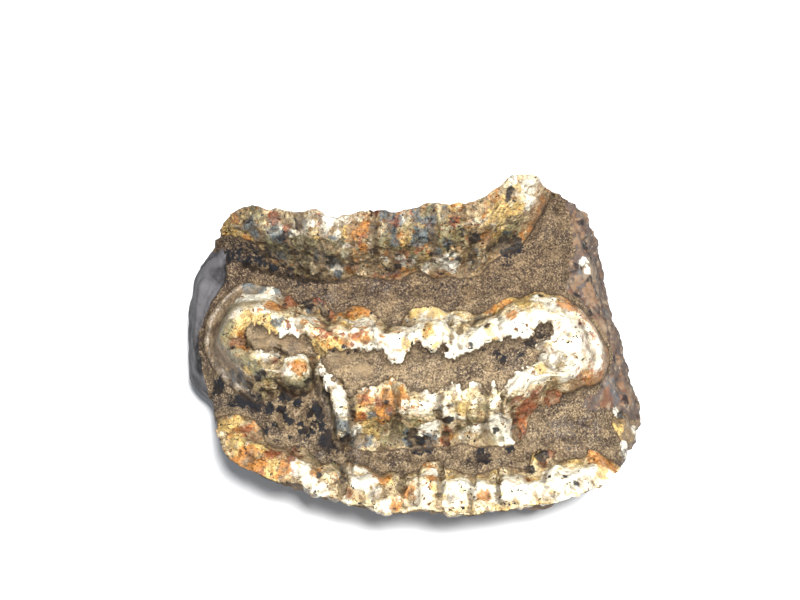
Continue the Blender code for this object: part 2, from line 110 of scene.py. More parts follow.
RIM = [(-37.5, 6.5, 32), (-35.5, 8.5, 34), (-33, 9.5, 35.5), (-29, 9, 36.5), (-25, 8, 36.5),
       (-21, 6.5, 36.5), (-17, 4.5, 36.5), (-13, 5, 36.5), (-8.5, 4.5, 36.5), (-3.5, 3.5, 36.5),
       (0.5, 5, 37), (5, 5.5, 37), (8.5, 3.5, 37), (12.5, 5, 37), (17, 7, 37.5),
       (21, 9, 37.5), (25, 10, 37), (29, 8.5, 36), (31.5, 6, 35), (32.5, 3, 34.5),
       (32, 0, 34.5), (30, -2, 35), (27.5, -2.5, 35.5), (23.5, -3, 36.5), (19.5, -5, 36.5),
       (15.5, -7, 36), (11, -7, 36), (6, -7.5, 36), (1.5, -8.5, 36), (-3.5, -7, 35.5),
       (-9, -8, 35.5), (-13, -8, 35), (-15.5, -5.5, 35), (-17, -2, 35), (-18.5, 0.5, 35.5),
       (-21.5, -0.8, 36), (-24.5, -1.8, 36), (-28, -1.6, 36), (-31.5, 0, 35), (-34.5, 2, 34),
       (-37, 4.5, 32)]
RING_END = [(30, 12.5, 33.5), (34.5, 9.5, 31.5), (37, 5, 30), (37, 1, 29.5), (34.5, -1.5, 30)]
FRONT_VALLEY = [(-40, -4, 20), (-37, -5, 23), (-32.5, -6.5, 24), (-27.5, -9, 24.5), (-21.5, -10.5, 25),
                (-16.5, -15.5, 24.5), (-10.5, -16, 24.5), (-2.5, -16.5, 24.5), (6.5, -16.5, 24.5),
                (15.5, -16, 24.5), (23.5, -15, 24.5), (29.5, -12, 24.5), (35.5, -9.5, 24), (41, -9.5, 22)]
FRONT_FOOT = [(-39, -8, 25), (-34.5, -8.5, 26), (-30, -12, 26), (-24, -14.5, 26), (-17.5, -16.5, 26),
              (-12.5, -17.5, 26), (-6.5, -17.5, 26), (-0.5, -18, 26), (5.5, -17.5, 26), (13, -19, 26),
              (21, -19, 26), (26, -18, 26), (32, -16.5, 26), (38, -15.5, 25), (42.5, -14.5, 23)]
FRONT_SHOULDER = [(-37, -12.5, 29), (-34.5, -14, 30.5), (-29, -16.5, 31.5), (-22.5, -19, 32),
                  (-16, -21.5, 32), (-8.5, -23, 32), (-0.5, -23, 32), (7, -23.5, 32.5),
                  (14.5, -24, 32.5), (22.5, -24, 32.5), (30, -22, 32), (37, -20, 30)]
LEFT_LUMP = [(-40, -3.5, 20), (-43, 0.5, 20.5), (-44.5, 6.5, 22), (-44.5, 13, 22.5), (-44, 19.5, 23),
             (-42.5, 24, 22)]
RIGHT_FLANK = [(30.5, 34, 29), (33.5, 28.5, 27), (35, 23, 25), (37, 17, 22.5), (40.5, 12.5, 20),
               (42.5, 7, 18), (43.5, 2, 17), (43, -3.5, 18.5), (41.5, -9, 20)]
GROOVES = [[(-11, -7.5), (-12, -10.5), (-12.5, -14)], [(-5, -6), (-3.5, -10.5), (-2.5, -14.5)],
           [(1.5, -7), (4.5, -8.5), (7, -15)], [(7.5, -4.5), (8, -6.5), (9.5, -14)],
           [(12, -5), (13, -9.5), (14, -14.5)], [(17.5, -6), (17.5, -9.5), (21, -13.5)],
           [(-22, 5.5), (-21, 10), (-19, 14.5)], [(-13, 3), (-12.5, 8), (-13.5, 13)],
           [(-7, 2.5), (-5.5, 7), (-5.5, 12.5)], [(-1.5, 1), (-1.5, 6), (-1, 12)],
           [(5.5, 3), (6.5, 8), (8, 14)], [(10, 2), (11, 7), (13, 12.5)], [(17, 4.5), (17, 8.5), (17.5, 14)],
           [(-24, -15), (-24.5, -19.5), (-25.5, -24)], [(-18.5, -16), (-19, -20), (-20, -26)],
           [(-12, -17.5), (-13, -20.5), (-13.5, -27)], [(-7, -17.5), (-6, -22), (-5.5, -29)],
           [(0, -18), (0, -23), (-0.5, -29)], [(6, -17.5), (5, -22), (5, -29.5)],
           [(11, -19), (11, -24), (10.5, -30)], [(17, -19.5), (16, -24), (17, -29)],
           [(27, -18), (25.5, -22), (24.5, -28)], [(-31, -13), (-31.5, -17), (-33, -20)],
           [(-25, 30), (-24.5, 24.5), (-23.5, 21)], [(-18.5, 29), (-18.5, 23.5), (-18.5, 20.5)],
           [(-12, 28.5), (-12, 23.5), (-12.5, 20)], [(-5, 29), (-4.5, 24.5), (-4, 20)],
           [(3.5, 30), (4, 24.5), (5, 19.5)], [(10, 31), (11, 25.5), (12, 21.5)],
           [(16, 33), (15.5, 27.5), (15.5, 25)],
           [(-40.5, -1), (-42, 3.5), (-42.5, 9), (-42, 15), (-40.5, 19.5), (-38.5, 22.5)]]


def curve_through(points, closed=False):
    """A smooth curve through given points, read every CURVE_STEP millimetres."""
    points = np.array(points, float)
    if closed:
        padded = np.vstack([points[-1:], points, points[:2]])
    else:
        padded = np.vstack([2 * points[0] - points[1], points, 2 * points[-1] - points[-2]])
    runs = []
    for before, start, end, after in zip(padded, padded[1:], padded[2:], padded[3:]):
        count = max(1, int(np.ceil(np.linalg.norm(end - start) / CURVE_STEP)))
        t = (np.arange(count) / count)[:, None]
        pull = 2 * before - 5 * start + 4 * end - after
        twist = 3 * (start - end) + after - before
        runs.append(start + 0.5 * t * ((end - before) + t * (pull + t * twist)))
    runs.append(points[:1] if closed else points[-1:])
    return np.vstack(runs)


def nearest_on(plan, line):
    """Each plan point's distance to a line, and the line's height at the nearest place."""
    gap = np.full(len(plan), np.inf)
    height = np.zeros(len(plan))
    for start, end in zip(line[:-1], line[1:]):
        run = end[:2] - start[:2]
        along = np.clip((plan - start[:2]) @ run / max(run @ run, 1e-9), 0, 1)
        away = np.linalg.norm(plan - start[:2] - along[:, None] * run, axis=1)
        closer = away < gap
        gap[closer] = away[closer]
        if line.shape[1] == 3:
            height[closer] = start[2] + along[closer] * (end[2] - start[2])
    return gap, height


def inside(plan, outline):
    """True for the plan points that a closed outline holds."""
    x, y = plan.T
    held = np.zeros(len(plan), bool)
    for (x0, y0), (x1, y1) in zip(outline[:-1, :2], outline[1:, :2]):
        if y0 != y1:
            crosses = (y0 > y) != (y1 > y)
            held ^= crosses & (x < x0 + (y - y0) * (x1 - x0) / (y1 - y0))
    return held


def depth_in(plan, outline):
    """How deep inside a closed outline each plan point lies, below zero outside it."""
    curve = curve_through(outline, closed=True)
    gap, _ = nearest_on(plan, curve)
    return np.where(inside(plan, curve), gap, -gap)


def ease(value, low, high):
    """0 below low, 1 above high, and a smooth step between."""
    t = np.clip((value - low) / (high - low), 0, 1)
    return t * t * (3 - 2 * t)


def lumps(points, size, seed):
    """Smooth random lumps of about one size, between -1 and 1, from a few crossing waves."""
    waves = 14
    rng = np.random.default_rng(seed)
    direction = rng.normal(size=(waves, points.shape[1]))
    direction /= np.linalg.norm(direction, axis=1)[:, None]
    stretch = rng.uniform(0.75, 1.35, waves)
    phase = rng.uniform(0, 2 * np.pi, waves)
    total = np.sin(points @ (direction * stretch[:, None]).T * 2 * np.pi / size + phase).sum(axis=1)
    return np.tanh(total / np.sqrt(waves))


def read_edge(points, fraction):
    """Points on an edge curve at fractions of its length."""
    curve = curve_through(points)
    length = np.concatenate([[0], np.cumsum(np.linalg.norm(np.diff(curve[:, :2], axis=0), axis=1))])
    return np.column_stack([np.interp(fraction * length[-1], length, curve[:, k]) for k in range(3)])


def on_top(across, deep):
    """Where the unit square's points lie on the top, between its four edges."""
    left, right = read_edge(EDGE_LEFT, deep), read_edge(EDGE_RIGHT, deep)
    front, back = read_edge(EDGE_FRONT, across), read_edge(EDGE_BACK, across)
    s, t = across[:, None], deep[:, None]
    corners = [np.array(points[end], float) for points in (EDGE_FRONT, EDGE_BACK) for end in (0, -1)]
    flat = ((1 - s) * (1 - t) * corners[0] + s * (1 - t) * corners[1]
            + (1 - s) * t * corners[2] + s * t * corners[3])
    return (1 - t) * front + t * back + (1 - s) * left + s * right - flat


def blended_height(plan):
    """The top's height: every line pulls on it, and the nearest ones pull hardest."""
    open_lines = [EDGE_FRONT, EDGE_BACK, EDGE_LEFT, EDGE_RIGHT, BACK_SHOULDER, BACK_FOOT, REAR_VALLEY,
                  FRONT_VALLEY, FRONT_FOOT, FRONT_SHOULDER, RING_END, LEFT_LUMP, RIGHT_FLANK]
    curves = [curve_through(line) for line in open_lines]
    curves += [curve_through(RING_FOOT, closed=True), curve_through(RIM, closed=True)]
    pulls, total = np.zeros(len(plan)), np.zeros(len(plan))
    for curve in curves:
        gap, height = nearest_on(plan, curve)
        pull = np.exp(-gap / LINE_REACH) / (gap + LINE_SOFTNESS) ** LINE_PULL
        pulls += pull
        total += pull * height
    return total / pulls


def on_foot(top, across, deep):
    """The foot's outline under a top point: smaller, with a furrow under each valley."""
    furrow = sum(np.exp(-((top[:, 1] - y) / FURROW_HALF_WIDTH) ** 2) for y in VALLEY_FURROWS_Y)
    from_middle_x, from_middle_y = np.abs(across - 0.5), np.abs(deep - 0.5)
    spread_x = FOOT_SPREAD_X - FURROW_SHARE * furrow * ease(from_middle_x, 0.32, 0.5)
    rounding = 1 - CORNER_ROUNDING * ease(from_middle_x, 0.3, 0.5) * ease(from_middle_y, 0.3, 0.5)
    x = top[:, 0] * spread_x * rounding
    y = (FOOT_MIDDLE_Y + (top[:, 1] - FOOT_MIDDLE_Y) * FOOT_SPREAD_Y) * rounding
    return np.column_stack([x, y, np.zeros(len(x))])


def underside(across, deep):
    """The worn underside: flat to rest on, with a hollow root canal under each ridge end."""
    foot = on_foot(on_top(across, deep), across, deep)
    ragged = CANAL_RAGGEDNESS * lumps(foot[:, :2], 9.0, seed=11)
    for x, y in CANALS:
        reach = np.hypot((foot[:, 0] - x) / CANAL_HALF_LENGTH, (foot[:, 1] - y) / CANAL_HALF_WIDTH)
        foot[:, 2] = np.maximum(foot[:, 2], CANAL_DEPTH * ease(-reach - ragged, -1.0, -0.35))
    return foot


def wall(across, deep, down):
    """The sides, from the top's edge (0) to the foot (1), and how much of each is a broken face."""
    edge = on_top(across, deep)
    foot = on_foot(edge, across, deep)
    broken = ease(edge[:, 2], BREAK_STARTS_AT, BREAK_FULL_AT)
    lean = (1 - broken) * down ** 1.8 + broken * (0.25 * down + 0.75 * down ** 1.6)
    place = edge + (foot - edge) * lean[:, None]
    place[:, 2] = edge[:, 2] * (1 - down)
    middle = np.sin(np.pi * np.clip(down, 0, 1))
    chips = (LARGE_CHIP_HEIGHT * lumps(place, LARGE_CHIP_SIZE, seed=7)
             + SMALL_CHIP_HEIGHT * lumps(place, SMALL_CHIP_SIZE, seed=8))
    below_lip = ease(edge[:, 2] * down, ENAMEL_LIP - LIP_ROUNDING, ENAMEL_LIP + LIP_ROUNDING)
    swell = FLANK_SWELL * (1 - broken) + BACK_SWELL * broken * ease(deep, 0.85, 1.0)
    move = middle * (swell + chips * (0.4 + 0.6 * broken)) - BREAK_STEP * broken * below_lip * (1 - down)
    outward = place[:, :2] - np.array([0, FOOT_MIDDLE_Y])
    outward /= np.linalg.norm(outward, axis=1)[:, None]
    place[:, :2] += outward * move[:, None]
    return place, broken * below_lip


# Tooth, its mesh.
# A unit grid is the chewing surface; its border is drawn down ring by ring to a second grid,
# the underside, and every point is then moved to its place on the form above.
COLUMNS, ROWS, WALL_RINGS = 300, 254, 16
UNDERSIDE_KEPT, SLACK = 0.05, 1e-4

bpy.ops.object.select_all(action="DESELECT")
bpy.ops.mesh.primitive_grid_add(x_subdivisions=COLUMNS, y_subdivisions=ROWS, size=2)
tooth = bpy.context.active_object
tooth.name = "fossil_tooth"
border = [vertex.index for vertex in tooth.data.vertices
          if max(abs(vertex.co.x), abs(vertex.co.y)) > 1 - 1e-5]
bpy.ops.object.mode_set(mode="EDIT")
bpy.ops.mesh.select_mode(type="VERT")
bpy.ops.mesh.select_all(action="SELECT")
bpy.ops.mesh.duplicate()
bpy.ops.mesh.flip_normals()
bpy.ops.transform.translate(value=(0, 0, -1))
bpy.ops.mesh.select_all(action="DESELECT")
bpy.ops.object.mode_set(mode="OBJECT")
for index in border:
    tooth.data.vertices[index].select = True
bpy.ops.object.mode_set(mode="EDIT")
for _ in range(WALL_RINGS):
    bpy.ops.mesh.extrude_region_move(TRANSFORM_OT_translate={"value": (0, 0, -1 / WALL_RINGS)})
bpy.ops.mesh.select_all(action="SELECT")
bpy.ops.mesh.remove_doubles(threshold=SLACK)
bpy.ops.mesh.normals_make_consistent(inside=False)
bpy.ops.object.mode_set(mode="OBJECT")

unit = np.zeros(len(tooth.data.vertices) * 3)
tooth.data.vertices.foreach_get("co", unit)
unit = unit.reshape(-1, 3)
across, deep, down = (unit[:, 0] + 1) / 2, (unit[:, 1] + 1) / 2, -unit[:, 2]
on_border = (np.abs(unit[:, :2]) > 1 - SLACK).any(axis=1)

# The rows close up on the steep ridge walls, so that no face is drawn out there.
even_rows = np.linspace(0, 1, ROWS + 1)
sheet = on_top(*(grid.ravel() for grid in np.meshgrid(np.linspace(0, 1, COLUMNS + 1), even_rows)))
sheet[:, 2] = blended_height(sheet[:, :2])
sheet = sheet.reshape(ROWS + 1, COLUMNS + 1, 3)
steps = np.linalg.norm(np.diff(sheet, axis=0), axis=2)
climbed = np.vstack([np.zeros((1, COLUMNS + 1)), np.cumsum(steps, axis=0)])
closed_up = np.column_stack([np.interp(even_rows, run / run[-1], even_rows) for run in climbed.T])
row, column = np.rint(deep * ROWS).astype(int), np.rint(across * COLUMNS).astype(int)
deep = closed_up[row, column]
upper, at_foot = down < SLACK, down > 1 - SLACK
under = at_foot & ~on_border

place, bare_dentine = wall(across, deep, down)
place[upper] = on_top(across[upper], deep[upper])
bare_dentine[upper] = 0
plan = place[upper, :2]
place[upper, 2] = blended_height(plan) + SURFACE_LUMP_HEIGHT * lumps(plan, SURFACE_LUMP_SIZE, seed=3)
place[under] = underside(across[under], deep[under])
bare_dentine[under] = 1

# Tooth, its zones.
# Enamel stands in the three ridges, sand and clay fill the valleys and basins, and the two
# flanks are smooth dark cement. Each is kept as a soft mask on the mesh's points.


def photo_ray(px, py):
    """The camera's place over the form, and its rays through pixels of the 800 by 600 photograph."""
    pixel = np.column_stack([np.atleast_1d(px), np.atleast_1d(py)]).astype(float)
    focal = PHOTO_WIDTH * camera.data.lens / camera.data.sensor_width
    turn = np.array(camera.rotation_euler.to_matrix())
    ray = np.column_stack([pixel[:, 0] - PHOTO_WIDTH / 2, PHOTO_HEIGHT / 2 - pixel[:, 1],
                           np.full(len(pixel), -focal)]) @ turn.T
    return np.array(CAMERA_PLACE) / MM + LINES_MIDDLE, ray


# A ball-shaped bulge beside the left basin and the swellings of the pillar next to it, as the
# pixel and height of each top and its reach in millimetres.
PIXEL_ON_TOOTH = 0.2
SWELLINGS = [(296, 366, 36.8, 3.6), (322, 364, 36.3, 1.5), (330, 378, 36.1, 1.8), (337, 392, 35.4, 2.0),
             (341, 406, 33.9, 2.1), (344, 420, 31.8, 2.2), (346, 432, 29.6, 2.2)]
swollen = []
for x, y, top, reach in SWELLINGS:
    eye, ray = photo_ray(x, y)
    swollen.append(((eye + ray[0] * (top - eye[2]) / ray[0, 2])[:2], top, reach))


def form_height(plan):
    """The top's height with the swellings on it."""
    height = blended_height(plan)
    for middle, top, reach in swollen:
        away = np.hypot(*(plan - middle).T)
        swell = top - reach + np.sqrt(np.maximum(reach ** 2 - away ** 2, 0))
        height = np.where(away < reach, np.maximum(height, swell), height)
    return height


def photo_spot(px, py):
    """The plan place that each pixel shows on the tooth's top."""
    eye, ray = photo_ray(px, py)
    height = np.full(len(ray), 32.0)
    for _ in range(6):
        reached = eye + ray * ((height - eye[2]) / ray[:, 2])[:, None]
        height = 0.5 * height + 0.5 * form_height(reached[:, :2])
    return reached[:, :2]


def beads(points, size, seed):
    """Beads packed side by side: 0 in the seams between them, up to about 1 on their tops."""
    scaled = points / size
    cell = np.floor(scaled)
    nearest, second = np.full(len(points), 9.0), np.full(len(points), 9.0)
    mixing = np.array([[127.1, 269.5, 113.5], [311.7, 183.3, 271.9], [74.7, 246.1, 124.6]])
    for step in product((-1, 0, 1), repeat=3):
        corner = cell + step
        jitter = np.sin((corner + seed) @ mixing) * 43758.5453
        jitter -= np.floor(jitter)
        away = ((scaled - corner - jitter) ** 2).sum(axis=1)
        second = np.minimum(second, np.maximum(nearest, away))
        nearest = np.minimum(nearest, away)
    return np.sqrt(second) - np.sqrt(nearest)


def traced(pixels):
    """The plan places of a line traced on the photograph."""
    return photo_spot(*np.array(pixels, float).T)


def traced_depth(outline):
    """How deep inside an outline traced on the photograph each point of the top lies."""
    return depth_in(plan, traced(outline))


def wandering(amount, size, seed):
    """The top's plan points, shifted a little, for lines that wander."""
    return plan + amount * lumps(plan, size, seed)[:, None]


def round_patch(x, y, reach):
    """A soft round patch on the top, given in pixels of the photograph."""
    away = np.hypot(*(plan - photo_spot(x, y)[0]).T)
    return np.exp(-(away / (reach * PIXEL_ON_TOOTH)) ** 4)


def everywhere(top_values, side_values=0.0):
    """A mask for all of the mesh's points, from its values on the top and on the rest."""
    mask = np.zeros(len(place))
    mask[upper], mask[~upper] = top_values, side_values
    return mask


# The borders of the enamel, the basins and the two dark flanks, in photograph pixels.
RING_BORDER = [(270, 287), (255, 283), (247, 282), (238, 285), (228, 292), (220, 300), (213, 310),
               (207, 320), (204, 332), (203, 345), (206, 356), (213, 368), (222, 380), (232, 388),
               (245, 396), (256, 402), (268, 400), (279, 396), (282, 391), (291, 390), (301, 389),
               (309, 382), (313, 371), (314, 361), (317, 361), (317, 375), (320, 386), (325, 396),
               (331, 406), (334, 418), (337, 430), (341, 440), (350, 445), (362, 451), (375, 452),
               (385, 450), (400, 450), (415, 450), (430, 450), (440, 447), (447, 451), (455, 445),
               (470, 446), (485, 447), (500, 447), (512, 446), (519, 442), (524, 438), (528, 425),
               (530, 413), (537, 406), (548, 407), (560, 402), (563, 395), (575, 391), (588, 388),
               (598, 384), (605, 376), (609, 366), (610, 356), (607, 345), (600, 332), (592, 320),
               (583, 310), (572, 302), (562, 296), (550, 293), (540, 291), (530, 292), (522, 296),
               (512, 297), (500, 302), (490, 307), (480, 312), (470, 313), (460, 310), (448, 312),
               (440, 308), (430, 306), (418, 307), (408, 311), (402, 320), (398, 328), (390, 326),
               (382, 322), (375, 314), (366, 308), (355, 304), (345, 309), (336, 313), (330, 308),
               (326, 301), (318, 298), (308, 300), (301, 304), (296, 301), (290, 296), (283, 295),
               (280, 289)]
LEFT_BASIN = [(247, 331), (251, 326), (258, 326), (262, 330), (268, 334), (275, 335), (279, 340),
              (284, 339), (290, 338), (297, 339), (303, 336), (307, 341), (309, 347), (313, 352),
              (317, 355), (312, 357), (305, 354), (295, 356), (285, 354), (278, 352), (268, 352),
              (258, 351), (252, 348), (248, 344), (246, 338)]
RIGHT_BASIN = [(322, 357), (328, 354), (333, 350), (340, 353), (346, 351), (352, 354), (360, 352),
               (368, 355), (375, 351), (380, 351), (384, 357), (388, 363), (394, 366), (400, 366),
               (406, 362), (409, 353), (412, 348), (418, 345), (424, 350), (430, 353), (436, 352),
               (441, 349), (446, 345), (444, 351), (444, 357), (449, 361), (455, 362), (460, 358),
               (466, 355), (471, 357), (476, 352), (482, 351), (486, 346), (490, 342), (497, 341),
               (501, 345), (505, 340), (511, 338), (517, 339), (524, 343), (530, 341), (535, 338),
               (535, 331), (540, 326), (548, 325), (551, 331), (547, 338), (540, 340), (533, 345),
               (532, 350), (538, 352), (544, 353), (538, 358), (534, 363), (528, 364), (523, 368),
               (516, 371), (511, 375), (505, 378), (502, 385), (499, 390), (497, 386), (493, 381),
               (489, 383), (487, 390), (483, 386), (478, 381), (473, 380), (468, 384), (463, 388),
               (460, 382), (455, 379), (449, 381), (444, 386), (438, 389), (432, 390), (425, 388),
               (418, 390), (412, 388), (405, 382), (398, 379), (390, 376), (383, 379), (377, 384),
               (366, 387), (357, 391), (351, 398), (347, 393), (344, 386), (340, 381), (334, 380),
               (330, 373), (327, 366)]
FRONT_BORDER = [(205, 428), (217, 418), (226, 414), (240, 414), (250, 417), (258, 423), (263, 431),
                (266, 440), (272, 445), (282, 447), (292, 445), (303, 446), (311, 453), (318, 459),
                (326, 466), (334, 463), (340, 466), (346, 460), (355, 460), (364, 464), (372, 470),
                (380, 472), (388, 470), (396, 472), (404, 475), (411, 469), (418, 470), (423, 465),
                (430, 459), (438, 458), (443, 463), (447, 468), (456, 469), (465, 474), (475, 473),
                (485, 472), (495, 470), (500, 467), (510, 466), (520, 468), (527, 471), (530, 458),
                (537, 451), (549, 449), (557, 450), (554, 459), (560, 461), (570, 459), (580, 458),
                (587, 455), (586, 449), (597, 452), (608, 456), (620, 462), (640, 466), (640, 560),
                (205, 560)]
BACK_BORDER = [(195, 232), (222, 236), (240, 239), (255, 246), (264, 256), (275, 265), (290, 272),
               (305, 276), (320, 280), (335, 280), (345, 279), (355, 276), (365, 278), (380, 279),
               (390, 281), (402, 281), (410, 274), (420, 272), (430, 278), (445, 277), (460, 279),
               (472, 278), (482, 275), (487, 267), (496, 260), (505, 254), (515, 250), (522, 244),
               (530, 235), (535, 226), (541, 214), (547, 205), (551, 197), (551, 186), (560, 150),
               (195, 150)]
FLAKES_BORDER = [(612, 424), (616, 412), (624, 409), (630, 416), (640, 420), (645, 440), (634, 452),
                 (622, 462), (616, 455), (622, 445), (618, 434)]
LUMP_BORDER = [(222, 250), (226, 262), (226, 275), (222, 285), (213, 295), (207, 308), (202, 320),
               (199, 335), (199, 352), (202, 366), (204, 380), (206, 396), (170, 400), (160, 330),
               (180, 250)]
FLANK_BORDER = [(570, 196), (571, 215), (573, 235), (574, 255), (568, 275), (567, 290), (579, 299),
                (591, 312), (601, 326), (608, 340), (613, 354), (611, 370), (602, 380), (597, 392),
                (582, 402), (588, 412), (606, 409), (616, 414), (620, 436), (622, 470), (680, 470),
                (680, 180)]

# Single lobes swell out of the ridges (x, y and reach in photograph pixels, rise in
# millimetres), and clefts part them (a line of pixels, depth and half width).
LOBES = [(297, 371, 12, 1.2), (337, 402, 9, .9), (374, 394, 13, .7), (395, 405, 8, .5),
         (425, 426, 10, .7), (503, 431, 12, .7), (262, 300, 12, .4), (312, 320, 9, .6),
         (362, 330, 10, .5), (392, 352, 9, .5), (430, 330, 15, .6), (455, 346, 8, .5),
         (565, 335, 24, .6), (228, 226, 12, .6), (262, 220, 10, .5), (330, 232, 16, .6),
         (355, 240, 9, .5), (405, 235, 14, .6), (448, 240, 14, .7), (495, 225, 14, .6),
         (455, 264, 9, .7), (404, 260, 9, .6), (430, 262, 7, .5), (366, 480, 12, .6), (430, 480, 9, .5),
         (455, 487, 11, .5), (485, 488, 11, .5), (515, 485, 13, .6), (570, 478, 20, .5),
         (300, 470, 14, .5), (238, 436, 16, .6), (275, 466, 10, .5), (323, 480, 10, .4),
         (385, 492, 10, .4), (455, 415, 13, .6), (472, 425, 10, .5), (262, 352, 9, .5)]
CLEFTS = [([(314, 359), (314, 368), (315, 382), (320, 400), (325, 416)], 1.0, 0.3),
          ([(350, 398), (352, 416), (351, 444)], 0.9, 0.4),
          ([(395, 384), (397, 405), (393, 440)], 0.8, 0.4),
          ([(441, 395), (439, 412), (446, 430), (448, 448)], 0.8, 0.35),
          ([(486, 390), (487, 415), (486, 445)], 0.6, 0.35),
          ([(504, 392), (503, 408), (504, 420)], 0.6, 0.3),
          ([(511, 402), (515, 420), (519, 441)], 0.8, 0.4),
          ([(352, 456), (344, 464), (341, 477), (343, 490)], 0.8, 0.35),
          ([(404, 474), (402, 490), (405, 508)], 0.7, 0.4),
          ([(243, 264), (254, 267), (266, 270), (280, 274), (300, 278), (322, 282)], 2.2, 0.35),
          ([(300, 271), (315, 277), (330, 280), (345, 280)], 0.9, 0.4),
          ([(470, 236), (472, 250), (476, 266)], 0.7, 0.35),
          ([(298, 214), (300, 228), (306, 246)], 0.7, 0.6),
          ([(374, 212), (374, 230), (377, 252)], 0.7, 0.6),
          ([(434, 212), (437, 228), (434, 246)], 0.5, 0.6),
          ([(300, 313), (305, 306), (313, 302), (321, 307), (327, 317), (328, 331)], 0.6, 0.35),
          ([(296, 308), (297, 318), (300, 328)], 0.5, 0.3),
          ([(378, 318), (372, 331), (377, 346)], 0.6, 0.35),
          ([(448, 320), (452, 333), (450, 344)], 0.5, 0.3),
          ([(463, 322), (458, 337), (461, 349)], 0.6, 0.35),
          ([(468, 322), (480, 318), (492, 313)], 0.6, 0.35),
          ([(440, 462), (443, 478), (440, 496)], 0.8, 0.3),
          ([(499, 470), (497, 486), (500, 502)], 0.9, 0.3),
          ([(417, 471), (419, 482), (416, 502)], 0.6, 0.3),
          ([(282, 392), (284, 402), (279, 414)], 0.8, 0.4),
          ([(224, 262), (222, 280), (210, 298), (203, 322), (200, 345)], 0.9, 0.5)]

# Enamel is a cushion with a rounded edge, fluted in columns and cut into small knobs.
CUSHION_RISE, CUSHION_ROUNDING, BASIN_EDGE_KNOB, BASIN_RIM, EDGE_REACH = 0.7, 1.4, 0.45, 0.2, 3.0
BASIN_FRINGE, FRINGE_SIZE, BASIN_RIM_WIDTH = 0.7, 1.15, 1.0
GROOVE_DIRT_WIDTH, DARK_CLEFT_DEPTH = 0.4, 1.3
COLUMN_STRETCH, COLUMN_SIZE, KNOB_SIZE, PIT_SIZE = (1.0, 0.38, 0.3), 5.2, 1.7, 2.1
columns = ease(beads(place * COLUMN_STRETCH, COLUMN_SIZE, seed=1), 0.0, 0.6)
knobs = ease(beads(place, KNOB_SIZE, seed=2), 0.0, 0.6)
pits = ease(beads(place, PIT_SIZE, seed=3), 0.62, 0.95)

wobble = 0.5 * lumps(plan, 4.0, seed=31) + 0.3 * lumps(plan, 1.6, seed=32)
ring_depth, back_depth, front_depth = (traced_depth(outline) for outline
                                       in (RING_BORDER, BACK_BORDER, FRONT_BORDER))
basins = np.maximum(traced_depth(LEFT_BASIN), traced_depth(RIGHT_BASIN))
basins -= BASIN_EDGE_KNOB * (knobs[upper] - 0.55) * np.exp(-(basins / 1.8) ** 2)
basins -= BASIN_FRINGE * (beads(place[upper], FRINGE_SIZE, seed=6) - 0.35) * np.exp(-(basins / 1.2) ** 2)
ring_mask = ease(ring_depth, -0.3, 0.3)
basin_mask = ease(basins + 0.12 * lumps(plan, 0.9, seed=34), -0.1, 0.35)
rim = np.exp(-((basins + 0.9) / BASIN_RIM_WIDTH) ** 2) * ring_mask
swollen_depth = np.max([reach + (0.3 if reach > 3 else 0.8) - np.hypot(*(plan - middle).T)
                        for middle, _, reach in swollen], axis=0)
enamel_depth = np.max([np.minimum(ring_depth, -basins), back_depth, front_depth,
                       np.minimum(swollen_depth, -basins), traced_depth(FLAKES_BORDER)], axis=0)
enamel_top = ease(enamel_depth + 0.25 * wobble, -0.2, 0.3)
cushion = np.sqrt(1 - (1 - np.clip(enamel_depth / CUSHION_ROUNDING, 0, 1)) ** 2)
place[upper, 2] += BASIN_RIM * rim + CUSHION_RISE * cushion
grooved, wandered = np.zeros(len(plan)), wandering(0.5, 4.0, seed=23)
for groove in GROOVES:
    groove_gap, _ = nearest_on(wandered, curve_through(groove))
    place[upper, 2] -= GROOVE_DEPTH * np.exp(-(groove_gap / GROOVE_WIDTH) ** 2)
    grooved = np.maximum(grooved, np.exp(-(groove_gap / GROOVE_DIRT_WIDTH) ** 2))
for x, y, reach, rise in LOBES:
    place[upper, 2] += rise * round_patch(x, y, reach)
# The cleft mask below is painted shade: each cleft is darkened by its depth, down to near black.
cleft_shade, wandered = np.zeros(len(plan)), wandering(0.2, 2.0, seed=24)
for line, depth, half_width in CLEFTS:
    cleft_gap, _ = nearest_on(wandered, curve_through(traced(line)))
    cut = np.exp(-(cleft_gap / half_width) ** 2)
    place[upper, 2] -= depth * cut
    cleft_shade = np.maximum(cleft_shade, cut * min(1, depth / DARK_CLEFT_DEPTH))
place[upper, 2] += form_height(plan) - blended_height(plan)
basin_middle = np.interp(plan[:, 0], *zip(*BASIN_MIDDLE))
basin_floor = BASIN_FILL_HEIGHT + BASIN_FILL_LUMP * lumps(plan, 6.0, seed=25)
basin_floor -= BASIN_FILL_TILT * (plan[:, 1] - basin_middle)
place[upper, 2] += (basin_floor - place[upper, 2]) * ease(basins, -0.2, 0.55)
front_gap, _ = nearest_on(plan, curve_through(EDGE_FRONT))
back_gap, _ = nearest_on(plan, curve_through(EDGE_BACK))
lump_top = ease(traced_depth(LUMP_BORDER) + 0.4 * wobble, -0.4, 0.4) * (1 - enamel_top)
flank_top = ease(traced_depth(FLANK_BORDER) + 0.8 * wobble, -0.5, 0.5) * (1 - enamel_top)

# On the sides, a lip of enamel caps the broken faces, and cement covers the rest of the flanks.
lip = (ease(place[:, 2], BREAK_STARTS_AT, BREAK_FULL_AT) * (1 - bare_dentine))[~upper]
cement_side = np.clip(1 - lip - bare_dentine[~upper], 0, 1)
left_side = place[~upper, 0] < 0
enamel = everywhere(enamel_top, lip * (down[~upper] < 0.5))
sediment = everywhere(np.clip(1 - enamel_top - flank_top - lump_top, 0, 1))
flank = everywhere(flank_top, cement_side * ~left_side)
lump = everywhere(lump_top, cement_side * left_side)
rim_nearness = everywhere(rim)
edge_nearness = everywhere(np.exp(-(np.minimum(front_gap, back_gap) / EDGE_REACH) ** 2), lip)

